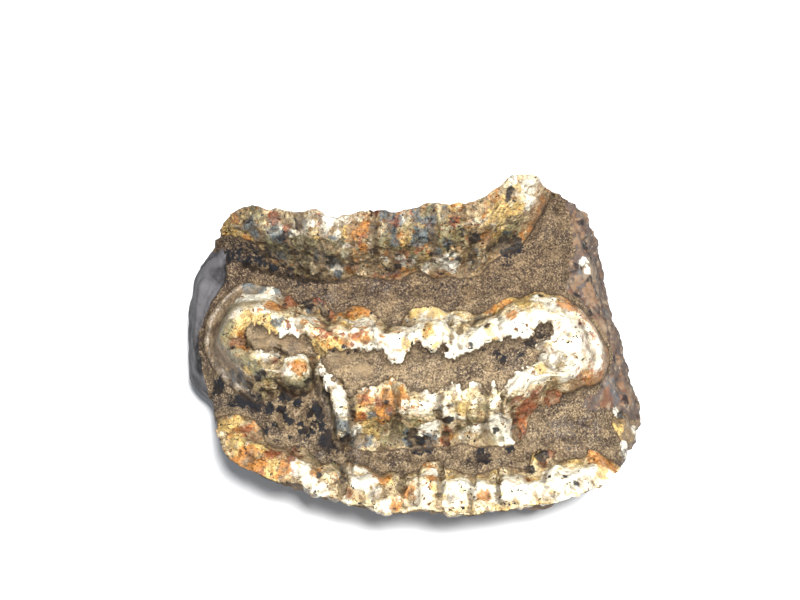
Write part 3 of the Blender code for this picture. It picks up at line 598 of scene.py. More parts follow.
# Tooth, its fine relief.
# Enamel is knobbly and pitted, in columns that run down the ridges; the fill is gritty, the
# flanks are worn smooth, and the broken faces are rough. The points move along their normals.
COLUMN_HEIGHT, KNOB_HEIGHT, PIT_DEPTH = 0.75, 0.11, 0.14
CRACK_DEPTH, CRACK_HALF_WIDTH = 0.7, 0.25
WORN_SMOOTH, BACK_RIDGE_CALM = 0.85, 0.6
CLODS_PLACE, CLODS_REACH = (-23, -9), (11, 6)
SMOOTH_PLACES = [(336, 390, 9), (340, 402, 10), (343, 415, 10), (345, 428, 10), (296, 374, 18),
                 (262, 342, 12), (278, 345, 12), (296, 348, 10), (340, 362, 10), (362, 374, 10)]
BAND_SPACING, BAND_HEIGHT = 1.3, 0.12
LEFT_BANDS_X, RIGHT_BANDS_X, BACK_BANDS_X = -30.5, 32.0, 23.5
CRACKS = [[(453.5, 381), (454, 392), (453, 402)], [(435.7, 409), (438, 418), (441.5, 427), (448, 449)],
          [(503.7, 392), (504, 404), (503, 417)], [(495, 417), (512, 426), (516, 434), (518.6, 443)],
          [(352, 458), (349, 472), (342, 491)], [(443, 458), (441, 474), (440, 492)],
          [(499, 470), (498, 496)], [(412, 385), (409, 404), (404, 425)],
          [(388, 388), (385, 410), (388, 432)], [(470, 392), (467, 412), (470, 436)],
          [(476, 465), (473, 490)], [(402, 463), (400, 490)],
          [(404, 216), (408, 240), (402, 262)], [(340, 222), (342, 245), (337, 266)]]


def write_places():
    """Put the points in their place, in metres, centred as the form is."""
    tooth.data.vertices.foreach_set("co", ((place - LINES_MIDDLE) * MM).ravel())
    tooth.data.update()


write_places()
normals = np.zeros(len(place) * 3)
tooth.data.vertex_normals.foreach_get("vector", normals)
normals = normals.reshape(-1, 3)
left_end = everywhere(ease(LEFT_BANDS_X - plan[:, 0], -2.5, 2.5) * ring_mask)
on_back_rim = ease(back_depth, -0.5, 0) * ease(4 - back_depth, -1, 1)
right_end = everywhere(np.maximum(ease(plan[:, 0] - RIGHT_BANDS_X, -3, 3) * ring_mask,
                                  ease(plan[:, 0] - BACK_BANDS_X, -1.5, 1.5) * on_back_rim))
growth_depth = np.where(ring_mask > 0, ring_depth, back_depth)
banded = np.maximum(left_end, right_end)
banded[upper] *= ease(-basins, 1.0, 3.0)
bands = everywhere(0.5 + 0.5 * np.sin((growth_depth + 0.4 * wobble) * 2 * np.pi / BAND_SPACING))
growth = everywhere((growth_depth + 0.3 * wobble) / 10)
smooth = everywhere(np.max([round_patch(*spot) for spot in SMOOTH_PLACES], axis=0))
rough_enamel = enamel * (1 - WORN_SMOOTH * np.maximum(banded, smooth))
calm = everywhere(1 - BACK_RIDGE_CALM * ease(back_depth, 0, 1), 1.0)
relief = rough_enamel * (calm * COLUMN_HEIGHT * (1 + 0.6 * edge_nearness) * (columns - 0.62)
                         + KNOB_HEIGHT * (1 + 3.0 * rim_nearness + 1.5 * edge_nearness) * (knobs - 0.6)
                         - PIT_DEPTH * pits) + BAND_HEIGHT * banded * enamel * bands
cloddy = sediment * np.exp(-(((place[:, :2] - CLODS_PLACE) / CLODS_REACH) ** 2).sum(axis=1))
# Each zone's lumps and grains, as height and size in millimetres and seed.
for zone, zone_lumps, zone_grains in (
        (sediment, [(0.28, 3.2, 41)], [(0.2, 0.9, 4)]),
        (cloddy, [(0.45, 2.8, 49), (0.2, 1.4, 50)], []),
        (rough_enamel, [(0.35, 4.5, 46), (0.14, 2.2, 47), (0.07, 1.1, 48)], []),
        (lump, [(0.2, 6.0, 42)], []),
        (flank, [(0.45, 4.0, 45), (0.2, 1.5, 43)], []),
        (bare_dentine, [(0.35, 3.0, 44)], [(0.2, 1.6, 5)])):
    relief += zone * (sum(height * lumps(place, size, seed) for height, size, seed in zone_lumps)
                      + sum(height * (beads(place, size, seed) - 0.4) for height, size, seed in zone_grains))
wandered = wandering(0.25, 1.4, seed=51)
crack_gap = np.min([nearest_on(wandered, curve_through(traced(crack)))[0] for crack in CRACKS], axis=0)
cracked = np.exp(-(crack_gap / CRACK_HALF_WIDTH) ** 2)
relief[upper] -= CRACK_DEPTH * cracked
relief[at_foot] = 0
place += normals * relief[:, None]
place[:, 2] = np.maximum(place[:, 2], 0)
write_places()


def averaged(sheet, reach):
    """A sheet of heights averaged over a few cells each way, twice over."""
    for axis in (0, 1, 0, 1):
        edges = [(reach + 1, reach) if axis == way else (0, 0) for way in (0, 1)]
        run = np.cumsum(np.pad(sheet, edges, mode="edge"), axis=axis)
        first = np.split(run, [run.shape[axis] - 2 * reach - 1], axis=axis)[0]
        last = np.split(run, [2 * reach + 1], axis=axis)[1]
        sheet = (last - first) / (2 * reach + 1)
    return sheet


# Hollows are darkened with painted shade and dirt, and crests are paled by wear and a painted highlight, at a
# fine and a broad scale.
FINE_DIRT, BROAD_DIRT = 3.8, 0.3
sheet = np.zeros((ROWS + 1, COLUMNS + 1))
sheet[row[upper], column[upper]] = place[upper, 2]
fine_hollow, broad_hollow = averaged(sheet, 2) - sheet, averaged(sheet, 9) - sheet
dip = (FINE_DIRT * fine_hollow + BROAD_DIRT * broad_hollow)[row[upper], column[upper]]
seam = np.maximum(grooved * enamel_top, cleft_shade)
hollow = everywhere(np.clip(np.maximum(dip, cracked) + 0.5 * seam, 0, 1))
crest_wear_and_highlight = everywhere(np.clip(-dip, 0, 1))

# The middle and front ridges are the palest, and the back ridge is darkened with painted shade, most toward
# its foot and on its left.
front, back = ease(front_depth, 0, 1), ease(back_depth, 0, 1)
pale = everywhere(np.clip(ring_mask * (0.35 + 0.5 * ease(place[upper, 2], 31.0, 35.5))
                          + front * (0.3 + 0.35 * ease(plan[:, 0], -15, 0)) + 0.3 * back, 0, 1), 0.4)
back_ridge_shade = everywhere(back * (0.30 + 0.30 * ease(-place[upper, 2], -38, -30)
                          + 0.15 * ease(-plan[:, 0], 5, 25)) * ease(-plan[:, 0], -24, -18))
rear = everywhere(ease(plan[:, 1], 11, 16))

# Tooth, its stains.
# Iron has stained the enamel honey, orange and rust, and manganese slate and black; the black
# patches that ring and lie under the ball-shaped bulge are painted shadow, and the slate patches
# down the pillar beside it are painted shade. Each stain is a few soft patches, set by the
# photograph's pixels as x, y, reach and how much is covered.
STAIN_SPREAD, STAIN_SLACK, STAIN_FADE, LOWEST_STAIN, NOT_TOP = 1.2, 0.5, 0.7, 10, 99.0
STAINS = {
    "white": [
        (337, 268, 5, .7), (400, 266, 5, .7), (410, 262, 5, .6), (440, 266, 6, .8), (452, 262, 5, .7),
        (385, 258, 4, .6), (345, 246, 5, .6), (365, 262, 4, .6), (425, 268, 4, .7), (290, 232, 4, .5),
        (318, 252, 4, .5), (270, 238, 4, .5), (470, 262, 3, .6), (300, 240, 4, .4), (584, 262, 4, .7),
        (588, 271, 4, .65), (617, 412, 4, .8), (322, 363, 7, .8), (340, 396, 7, .9), (262, 297, 13, .85),
        (243, 299, 8, .8), (237, 313, 7, .75), (276, 292, 8, .8), (262, 308, 8, .8), (293, 334, 9, .85),
        (282, 330, 6, .5), (311, 319, 9, .75), (296, 322, 6, .7), (267, 353, 10, .65), (257, 355, 8, .5),
        (290, 358, 8, .6), (286, 371, 6, .75), (301, 357, 7, .7), (362, 322, 12, .8), (372, 330, 8, .6),
        (350, 335, 14, .5), (345, 350, 8, .5), (361, 348, 10, .55), (392, 355, 13, .95), (385, 340, 8, .8),
        (430, 318, 16, .9), (415, 330, 12, .8), (445, 335, 12, .9), (428, 348, 9, .7), (455, 350, 12, .95),
        (455, 320, 8, .6), (465, 345, 10, .9), (480, 335, 14, .85), (500, 325, 16, .8), (520, 330, 12, .9),
        (490, 345, 8, .85), (545, 300, 12, .9), (560, 310, 14, .95), (575, 330, 16, .95), (560, 345, 18, .95),
        (590, 350, 14, .95), (545, 360, 14, .9), (530, 372, 14, .95), (510, 380, 9, .95), (570, 370, 12, .85),
        (597, 365, 8, .7), (540, 318, 10, .7), (455, 384, 9, .9), (474, 383, 5, .75), (492, 385, 6, .85),
        (430, 395, 8, .6), (440, 400, 10, .6), (366, 392, 6, .85), (400, 383, 5, .5), (322, 366, 7, .95),
        (328, 378, 7, .9), (338, 390, 6, .95), (342, 402, 7, .95), (343, 415, 8, .6), (356, 430, 7, .6),
        (428, 427, 8, .95), (434, 436, 5, .8), (502, 433, 12, .95), (495, 420, 8, .8), (420, 408, 8, .5),
        (455, 415, 10, .5), (482, 428, 10, .6), (465, 435, 8, .45), (410, 402, 8, .4), (355, 470, 7, .85),
        (366, 480, 11, .95), (372, 492, 8, .7), (300, 464, 9, .85), (310, 485, 8, .75), (320, 492, 8, .65),
        (345, 500, 6, .7), (385, 505, 8, .6), (430, 473, 8, .7), (425, 495, 8, .8), (455, 490, 14, .95),
        (470, 485, 12, .85), (487, 492, 10, .75), (505, 490, 9, .95), (520, 492, 12, .95), (515, 478, 9, .95),
        (560, 475, 14, .95), (545, 485, 10, .95), (580, 480, 14, .95), (600, 475, 12, .9), (540, 498, 8, .7),
        (562, 495, 10, .95), (415, 505, 6, .6), (305, 225, 12, .5), (330, 222, 12, .6), (350, 225, 8, .5),
        (338, 235, 6, .6), (400, 262, 6, .85), (413, 258, 5, .65), (450, 265, 8, .95), (432, 262, 5, .75),
        (405, 225, 6, .6), (525, 190, 12, .6), (530, 205, 8, .55), (515, 183, 6, .5), (495, 222, 6, .5),
        (275, 228, 8, .5), (345, 257, 5, .6), (335, 268, 4, .6), (625, 447, 6, .85), (636, 430, 6, .85),
        (620, 416, 4, .7)],
    "honey": [
        (300, 363, 4, .6), (249, 371, 5, .8), (266, 382, 4, .6), (230, 334, 4, .6), (262, 321, 8, .9),
        (271, 328, 7, .9), (246, 318, 6, .8), (241, 330, 7, .85), (318, 347, 8, .85), (334, 345, 9, .75),
        (345, 325, 8, .6), (350, 312, 12, .6), (428, 333, 6, .85), (407, 345, 5, .75), (435, 308, 12, .75),
        (415, 311, 8, .6), (515, 300, 12, .95), (525, 304, 8, .9), (500, 308, 8, .7), (541, 369, 5, .9),
        (556, 298, 10, .5), (545, 291, 10, .6), (463, 308, 12, .5), (492, 331, 6, .65), (228, 228, 13, .95),
        (245, 236, 8, .75), (350, 233, 6, .6), (312, 236, 8, .6), (500, 212, 12, .75), (518, 190, 4, .75),
        (497, 237, 9, .75), (518, 208, 6, .8), (408, 245, 6, .85), (425, 225, 6, .75), (468, 256, 5, .95),
        (410, 235, 10, .5), (462, 203, 6, .6), (425, 258, 5, .7), (455, 207, 8, .5), (370, 425, 8, .95),
        (378, 417, 8, .6), (360, 411, 6, .65), (465, 410, 8, .6), (455, 440, 8, .45), (402, 390, 5, .75),
        (398, 440, 5, .4), (228, 425, 9, .95), (232, 440, 8, .85), (240, 448, 8, .75), (258, 448, 6, .95),
        (270, 470, 12, .6), (300, 462, 5, .4), (450, 478, 12, .6), (440, 464, 5, .5), (410, 475, 5, .6),
        (358, 473, 5, .5), (575, 464, 12, .45), (385, 480, 8, .6), (435, 490, 5, .5), (600, 468, 8, .55),
        (537, 456, 5, .85), (618, 428, 5, .95), (612, 434, 5, .6), (560, 330, 40, .2), (560, 480, 40, .28),
        (480, 490, 50, .25), (430, 330, 40, .2)],
    "orange": [
        (243, 340, 6, .8), (237, 347, 5, .75), (232, 340, 4, .6), (273, 305, 6, .85), (262, 312, 4, .5),
        (365, 312, 6, .7), (352, 316, 6, .7), (338, 320, 5, .6), (494, 308, 6, .75), (505, 303, 5, .65),
        (512, 314, 4, .6), (600, 375, 6, .7), (593, 382, 5, .65), (604, 360, 5, .6), (585, 318, 5, .55),
        (598, 335, 5, .6), (572, 303, 6, .65), (561, 297, 5, .45), (588, 372, 5, .5), (541, 200, 5, .6),
        (538, 214, 5, .6), (531, 227, 5, .55), (545, 190, 4, .55), (522, 238, 4, .5), (298, 370, 6, .85),
        (304, 369, 4, .8), (288, 366, 4, .6), (273, 307, 8, .85), (243, 338, 6, .75), (245, 347, 5, .7),
        (305, 322, 4, .75), (355, 309, 10, .85), (345, 317, 8, .6), (330, 335, 6, .6), (345, 343, 6, .6),
        (357, 338, 5, .65), (366, 340, 4, .6), (490, 304, 8, .75), (505, 307, 8, .75), (569, 306, 8, .75),
        (512, 315, 5, .7), (390, 400, 10, .95), (385, 411, 9, .9), (365, 399, 7, .8), (360, 416, 6, .7),
        (398, 385, 8, .6), (402, 396, 6, .75), (394, 376, 7, .5), (376, 400, 6, .65), (415, 405, 5, .5),
        (450, 436, 4, .6), (521, 425, 8, .75), (493, 444, 6, .6), (357, 233, 8, .9), (365, 228, 6, .75),
        (352, 268, 5, .85), (363, 250, 6, .65), (355, 260, 6, .6), (400, 273, 6, .85), (393, 267, 5, .6),
        (470, 203, 6, .75), (460, 222, 6, .6), (495, 195, 6, .65), (235, 222, 5, .65), (246, 237, 5, .75),
        (412, 252, 6, .65), (485, 235, 8, .65), (541, 200, 6, .6), (236, 434, 8, .6), (250, 455, 8, .85),
        (240, 462, 8, .7), (258, 465, 8, .75), (252, 428, 6, .65), (263, 455, 6, .6), (285, 470, 8, .6),
        (275, 475, 6, .6), (395, 505, 5, .85), (382, 478, 8, .75), (408, 492, 6, .85), (432, 478, 5, .75),
        (441, 478, 4, .75), (485, 497, 5, .85), (528, 480, 6, .6), (607, 463, 9, .95), (595, 458, 7, .85),
        (428, 465, 5, .6), (316, 470, 5, .5), (335, 480, 5, .6), (606, 348, 5, .6), (600, 373, 8, .6),
        (590, 381, 8, .5), (608, 360, 6, .6), (420, 230, 60, .25), (350, 330, 50, .3)],
    "olive": [
        (321, 380, 4, .75), (335, 433, 5, .6), (301, 386, 6, .7), (310, 378, 4, .7), (297, 384, 7, .7),
        (306, 380, 5, .6), (288, 382, 5, .6), (323, 378, 5, .5), (330, 415, 5, .6), (331, 425, 5, .6),
        (234, 306, 8, .8), (230, 325, 6, .75), (226, 338, 6, .6), (255, 368, 8, .75), (245, 362, 6, .6),
        (268, 378, 8, .65), (300, 385, 9, .75), (311, 373, 4, .65), (285, 382, 5, .65), (265, 392, 8, .65),
        (325, 392, 6, .65), (255, 212, 7, .8), (258, 221, 6, .7), (450, 235, 16, .75), (440, 245, 12, .65),
        (470, 250, 8, .65), (385, 245, 10, .65), (305, 245, 14, .6), (430, 215, 8, .65), (515, 218, 8, .6),
        (512, 232, 8, .7), (300, 262, 14, .6), (390, 235, 8, .65), (335, 250, 8, .6), (385, 430, 12, .6),
        (395, 420, 8, .65), (375, 412, 6, .5), (470, 415, 10, .4), (480, 430, 12, .25), (440, 412, 6, .55),
        (465, 425, 8, .5), (410, 425, 8, .65), (400, 436, 8, .65), (482, 405, 6, .55), (318, 458, 8, .65),
        (330, 462, 8, .65), (340, 470, 4, .6), (410, 473, 5, .5), (280, 248, 16, .65), (345, 250, 12, .55),
        (420, 245, 30, .45), (495, 440, 10, .4)],
    # Slate manganese patches; those down the pillar, x 325 to 347, y 392 to 432, are painted shade.
    "slate_and_shade": [
        (325, 392, 5, .85), (328, 402, 5, .85), (331, 413, 5, .75), (333, 424, 5, .7), (335, 293, 10, .75),
        (320, 290, 8, .65), (372, 285, 8, .7), (445, 290, 7, .75), (388, 290, 6, .6), (560, 432, 12, .6),
        (567, 424, 7, .6), (590, 420, 9, .5), (570, 445, 8, .55), (400, 291, 6, .5), (232, 378, 6, .6),
        (243, 384, 5, .6), (478, 318, 5, .6), (252, 364, 5, .5), (328, 395, 6, .75), (327, 403, 5, .7),
        (341, 418, 8, .6), (345, 428, 7, .5), (608, 310, 8, .7), (388, 217, 9, .7), (380, 213, 6, .6),
        (398, 218, 8, .55), (415, 210, 6, .5), (432, 213, 6, .5), (446, 214, 6, .5), (250, 289, 6, .9),
        (262, 291, 7, .75), (280, 292, 5, .65), (285, 297, 4, .6), (277, 323, 4, .85), (282, 320, 3, .6),
        (326, 325, 5, .55), (310, 311, 4, .65), (240, 372, 6, .55), (233, 374, 5, .55), (258, 376, 5, .65),
        (340, 425, 9, .75), (347, 432, 8, .65), (335, 412, 5, .5), (355, 441, 8, .65), (365, 442, 6, .5),
        (410, 440, 8, .75), (425, 440, 8, .65), (395, 412, 5, .5), (372, 415, 5, .5), (450, 405, 4, .45),
        (250, 225, 6, .85), (255, 232, 5, .65), (275, 234, 7, .75), (282, 240, 7, .85), (300, 222, 6, .55),
        (325, 235, 5, .45), (333, 237, 5, .55), (388, 217, 8, .85), (397, 222, 7, .75), (390, 235, 7, .65),
        (393, 243, 5, .65), (420, 238, 9, .85), (428, 225, 6, .75), (430, 240, 6, .65), (415, 217, 6, .65),
        (437, 250, 5, .65), (475, 252, 4, .65), (320, 255, 7, .65), (332, 262, 7, .75), (338, 275, 4, .75),
        (510, 235, 6, .55), (280, 256, 4, .55), (350, 246, 4, .45), (447, 245, 5, .55), (318, 456, 5, .75),
        (343, 468, 4, .75), (355, 457, 6, .65), (415, 480, 3, .45), (585, 262, 6, .6), (583, 272, 5, .7),
        (580, 285, 5, .5), (612, 386, 8, .95), (615, 395, 6, .85), (600, 300, 4, .5), (608, 310, 5, .5)],
    "rust": [
        (331, 333, 3, .7), (343, 334, 2, .7), (345, 343, 2, .7), (355, 337, 3, .7), (362, 333, 2.5, .6),
        (352, 345, 2, .6), (336, 338, 2, .7), (322, 331, 3, .8), (325, 338, 3, .6), (289, 328, 2.5, .7),
        (287, 322, 2, .7), (274, 362, 3.5, .8), (268, 363, 2, .7), (232, 345, 3, .8), (236, 342, 3, .8),
        (347, 315, 4, .6), (322, 302, 4, .7), (318, 300, 3, .7), (330, 312, 4, .6), (281, 306, 3, .8),
        (286, 304, 3, .9), (380, 403, 4, .7), (365, 400, 4, .6), (390, 408, 3, .6), (364, 415, 3, .6),
        (272, 452, 6, .7), (280, 455, 5, .6), (300, 453, 4, .6), (246, 436, 4, .5), (292, 301, 8, .95),
        (284, 306, 4, .8), (318, 301, 7, .9), (321, 334, 5, .6), (331, 316, 5, .6), (283, 372, 3, .6),
        (274, 361, 4, .75), (241, 343, 4, .7), (525, 408, 9, .95), (520, 416, 8, .9), (522, 433, 6, .9),
        (533, 415, 5, .8), (535, 395, 7, .6), (550, 397, 9, .65), (445, 440, 5, .95), (446, 430, 4, .6),
        (540, 402, 8, .5), (518, 400, 6, .6), (360, 401, 5, .65), (378, 400, 4, .6), (363, 418, 3, .6),
        (376, 213, 5, .85), (274, 219, 5, .75), (287, 228, 4, .65), (355, 265, 4, .75), (395, 276, 6, .6),
        (373, 222, 5, .5), (420, 250, 6, .45), (405, 253, 5, .5), (455, 226, 6, .6), (278, 452, 7, .75),
        (296, 452, 7, .75), (287, 458, 6, .6), (348, 492, 4, .95), (255, 437, 5, .6), (246, 430, 5, .5),
        (263, 473, 4, .6), (552, 453, 5, .95), (543, 463, 5, .7), (411, 463, 5, .6), (372, 460, 8, .5),
        (386, 462, 5, .4), (568, 455, 4, .7), (582, 228, 6, .5), (590, 220, 5, .5), (590, 300, 8, .5),
        (600, 320, 8, .6), (607, 335, 6, .6), (614, 350, 6, .6), (608, 398, 8, .85), (622, 400, 5, .6),
        (628, 390, 5, .6), (570, 292, 5, .5), (400, 245, 70, .22), (590, 350, 40, .25)],
    # Black manganese patches; those around x 276 to 314, y 372 to 395, ringing and under the ball-shaped
    # bulge, are painted shadow.
    "soot_and_shadow": [
        (285, 304, 2, .9), (297, 303, 2, .8), (306, 302, 3, .9), (318, 306, 3, .9), (322, 313, 2.5, .9),
        (333, 350, 1.5, .9), (344, 347, 2, .8), (349, 351, 2, .8), (356, 350, 2, .8), (233, 349, 2, .95),
        (371, 346, 1.5, .7), (352, 405, 2, .9), (352, 415, 2, .9), (386, 402, 2, .8), (300, 424, 2.5, .9),
        (308, 436, 2, .9), (290, 437, 2, .8), (276, 440, 2, .8), (262, 431, 2, .9), (298, 447, 2, .6),
        (314, 372, 3, .95), (314, 381, 3, .95), (310, 389, 3.5, .95), (303, 393, 3.5, .95), (288, 393, 4, .9),
        (280, 387, 3.5, .8), (276, 379, 3, .6), (232, 385, 3, .6), (250, 386, 4, .8), (258, 379, 3, .6),
        (262, 388, 3, .6), (240, 378, 2.5, .7), (270, 392, 3, .7), (215, 390, 4, .8), (222, 388, 3, .8),
        (297, 403, 3.5, .95), (283, 396, 4, .9), (319, 409, 4, .95), (310, 413, 3, .85), (321, 425, 3.5, .9),
        (283, 411, 3, .9), (288, 420, 3, .85), (270, 405, 3, .7), (335, 445, 6, .8), (265, 433, 3, .7),
        (230, 402, 3, .7), (275, 425, 2.5, .8), (300, 432, 3, .7), (312, 431, 3, .8), (295, 392, 5, .7),
        (246, 400, 5, .9), (256, 404, 4, .85), (238, 397, 4, .7), (488, 325, 2.5, .5), (497, 352, 4, .75),
        (503, 361, 4, .8), (530, 343, 5, .8), (541, 333, 5, .6), (527, 331, 3, .6), (541, 296, 3, .6),
        (519, 355, 4, .6), (485, 349, 3, .6), (586, 245, 5, .6), (577, 265, 4, .55), (590, 280, 4, .6),
        (577, 292, 5, .65), (592, 312, 4, .55), (615, 357, 4, .7), (608, 347, 3, .5), (625, 400, 5, .7),
        (618, 385, 4, .3), (622, 414, 5, .5), (580, 222, 4, .5), (503, 240, 6, .8), (513, 245, 8, .9),
        (518, 242, 5, .8), (495, 247, 5, .6), (508, 256, 5, .6), (507, 262, 4, .6), (472, 238, 5, .6),
        (432, 237, 4, .6), (388, 217, 5, .5), (296, 251, 5, .5), (285, 242, 4, .5), (470, 250, 4, .5),
        (330, 260, 6, .45), (350, 265, 6, .45), (309, 305, 5, .95), (318, 306, 4, .8), (303, 308, 4, .8),
        (325, 314, 4, .95), (329, 319, 3, .85), (239, 381, 3, .95), (250, 386, 4, .95), (219, 384, 5, .95),
        (218, 392, 4, .75), (263, 373, 4, .75), (258, 379, 3, .75), (290, 392, 7, .85), (284, 395, 4, .8),
        (316, 408, 4, .85), (320, 415, 4, .85), (298, 402, 4, .95), (281, 410, 4, .85), (269, 409, 4, .95),
        (255, 402, 8, .97), (243, 401, 6, .95), (232, 403, 5, .65), (291, 422, 4, .75), (262, 433, 3, .75),
        (305, 430, 4, .65), (285, 417, 3, .65), (330, 440, 9, .97), (338, 445, 7, .95), (346, 440, 6, .85),
        (352, 430, 3, .6), (418, 443, 8, .97), (428, 446, 6, .95), (412, 432, 5, .75), (424, 438, 5, .75),
        (448, 420, 4, .85), (443, 430, 3, .65), (496, 430, 3, .85), (450, 388, 3, .55), (480, 452, 5, .65),
        (485, 460, 6, .75), (510, 448, 4, .95), (470, 460, 3, .65), (352, 410, 3, .65), (262, 260, 6, .7),
        (247, 260, 5, .75), (272, 267, 5, .7), (290, 272, 5, .6), (512, 248, 7, .97), (505, 252, 5, .85),
        (520, 246, 3, .75), (507, 199, 3, .6), (511, 190, 3, .65), (476, 240, 5, .85), (472, 255, 4, .8),
        (475, 265, 3, .75), (283, 240, 4, .65), (353, 265, 3, .75), (393, 268, 5, .65), (400, 268, 3, .65),
        (436, 240, 4, .55), (318, 262, 4, .6), (330, 260, 4, .6), (430, 232, 3, .65), (432, 222, 3, .6),
        (448, 250, 3, .6), (250, 224, 3, .65), (298, 228, 4, .5), (374, 230, 4, .5), (376, 250, 4, .55),
        (463, 232, 5, .5), (500, 242, 5, .65), (541, 296, 3, .65), (487, 326, 2, .7), (470, 344, 1.5, .6),
        (516, 330, 2, .6), (358, 478, 2, .55), (343, 478, 4, .65), (336, 463, 4, .55), (319, 477, 3, .65),
        (565, 477, 3, .65), (576, 483, 3, .75), (503, 476, 3, .55), (543, 456, 5, .85), (530, 470, 4, .85),
        (438, 497, 4, .45), (230, 255, 8, .7), (240, 250, 10, .5), (260, 252, 14, .5), (300, 258, 30, .35),
        (440, 255, 40, .3), (210, 272, 6, .6), (316, 425, 5, .6)],
    "tan": [
        (500, 366, 9, .7), (515, 363, 7, .6), (560, 222, 8, .7), (350, 282, 9, .5), (420, 283, 10, .5),
        (470, 283, 10, .5), (530, 270, 12, .5), (545, 240, 8, .5), (395, 300, 8, .5), (300, 408, 6, .8),
        (288, 405, 5, .7), (312, 420, 6, .7), (305, 396, 5, .6), (232, 392, 6, .8), (268, 346, 10, .6),
        (290, 350, 8, .6), (588, 215, 6, .65), (594, 232, 5, .7), (583, 235, 5, .5), (590, 252, 5, .5),
        (588, 288, 6, .75), (580, 282, 5, .65), (592, 297, 5, .65), (598, 322, 5, .75), (604, 335, 5, .8),
        (612, 345, 4, .65), (618, 360, 4, .55), (600, 365, 4, .5), (631, 398, 4, .8), (628, 385, 3, .55),
        (575, 222, 6, .6), (578, 245, 5, .5), (600, 345, 3, .6), (605, 372, 3, .5), (572, 262, 6, .4),
        (616, 330, 4, .6), (300, 402, 10, .8), (310, 420, 9, .7), (290, 430, 7, .6), (275, 420, 8, .5),
        (322, 400, 8, .7), (331, 412, 6, .5), (230, 392, 8, .7), (270, 408, 4, .8), (205, 375, 6, .6),
        (232, 272, 8, .45), (260, 280, 14, .5), (285, 279, 10, .5), (565, 222, 7, .65), (560, 210, 5, .45),
        (600, 428, 10, .6), (480, 262, 10, .5), (385, 305, 14, .65), (400, 300, 8, .5), (490, 270, 8, .5),
        (575, 285, 6, .5), (275, 343, 18, .6), (300, 348, 10, .6), (355, 372, 18, .5), (440, 366, 16, .45),
        (395, 372, 14, .4), (500, 374, 10, .4), (470, 302, 8, .5), (345, 300, 8, .4), (575, 222, 8, .4),
        (548, 420, 12, .4), (250, 418, 12, .5), (590, 440, 8, .4)],
    "umber": [
        (350, 276, 12, .5), (320, 286, 14, .5), (300, 290, 12, .5), (557, 205, 8, .55), (564, 213, 7, .5),
        (520, 262, 12, .45), (395, 283, 10, .4), (508, 250, 10, .6), (205, 320, 10, .9), (200, 345, 8, .9),
        (204, 365, 10, .9), (208, 305, 8, .9), (225, 262, 12, .9), (330, 290, 14, .8), (378, 288, 10, .85),
        (405, 295, 8, .75), (447, 290, 9, .8), (505, 290, 8, .6), (578, 408, 14, .8), (597, 408, 12, .8),
        (228, 402, 16, .9), (207, 378, 12, .6), (218, 392, 12, .8), (212, 300, 10, .6), (218, 275, 14, .9),
        (235, 250, 16, .9), (245, 270, 12, .8), (300, 415, 14, .4), (275, 425, 10, .5), (470, 450, 18, .5),
        (395, 452, 16, .5), (555, 440, 16, .4), (290, 288, 20, .55), (320, 300, 12, .5), (500, 265, 25, .4),
        (505, 362, 14, .7), (500, 350, 12, .6), (520, 350, 12, .6), (470, 365, 16, .5), (425, 345, 10, .6),
        (540, 333, 8, .8), (380, 330, 12, .7), (388, 322, 10, .6), (375, 362, 10, .35), (258, 412, 20, .5),
        (335, 452, 20, .5), (610, 400, 14, .7), (585, 230, 16, .6), (600, 290, 14, .7), (560, 395, 16, .6),
        (480, 458, 12, .5), (590, 430, 20, .5), (615, 440, 14, .5), (450, 305, 8, .4), (540, 290, 10, .4)],
}


def write_mask(name, values):
    """Keep a mask on the mesh's points, for the material to read."""
    layer = tooth.data.attributes.new(name, "FLOAT", "POINT")
    layer.data.foreach_set("value", np.clip(values, 0, 1).astype(np.float32))


for stain, patches in STAINS.items():
    patches = np.array(patches, float)
    spots = photo_spot(patches[:, 0], patches[:, 1])
    cover = np.zeros(len(place))
    reaches = STAIN_SPREAD * patches[:, 2] * PIXEL_ON_TOOTH
    for (x, y), reach, most in zip(spots, reaches, patches[:, 3]):
        away = np.hypot(place[:, 0] - x, place[:, 1] - y)
        level = place[np.argmin(away + NOT_TOP * ~upper), 2]
        away = np.hypot(away, np.maximum(np.abs(place[:, 2] - level) - STAIN_SLACK, 0) * upper)
        patch = most * np.exp(-(away / reach) ** 3 * STAIN_FADE) * (place[:, 2] > LOWEST_STAIN)
        cover = np.maximum(cover, patch)
    write_mask(stain, cover)
for name, values in {"enamel": enamel, "sediment": sediment, "flank": flank, "lump": lump,
                     "dentine": bare_dentine, "hollow": hollow, "crest_wear_and_highlight": crest_wear_and_highlight,
                     "basin": everywhere(basin_mask * ring_mask), "cleft_shade": everywhere(cleft_shade),
                     "bands": banded * bands, "growth": growth, "left_end": left_end,
                     "right_end": right_end, "pale": pale, "back_ridge_shade": back_ridge_shade, "rear": rear,
                     "smooth": smooth}.items():
    write_mask(name, values)

bpy.ops.object.select_all(action="DESELECT")
tooth.select_set(True)
bpy.context.view_layer.objects.active = tooth
bpy.ops.object.mode_set(mode="EDIT")
bpy.ops.mesh.select_mode(type="VERT")
bpy.ops.mesh.select_all(action="DESELECT")
bpy.ops.object.mode_set(mode="OBJECT")
tooth.data.vertices.foreach_set("select", under)
bpy.ops.object.mode_set(mode="EDIT")
bpy.ops.mesh.decimate(ratio=UNDERSIDE_KEPT)
bpy.ops.mesh.select_all(action="SELECT")
bpy.ops.mesh.faces_shade_smooth()
bpy.ops.mesh.select_all(action="DESELECT")
bpy.ops.object.mode_set(mode="OBJECT")
for vertex in tooth.data.vertices:
    vertex.co.z = max(vertex.co.z, 0)

# Tooth, its material.
# Polished fossil enamel over cream, with each stain broken up by its own fine noise, specks
# of black oxide, gritty sand in the hollows, dark cement on the flanks, and painted shade
# darkening the hollows and clefts.


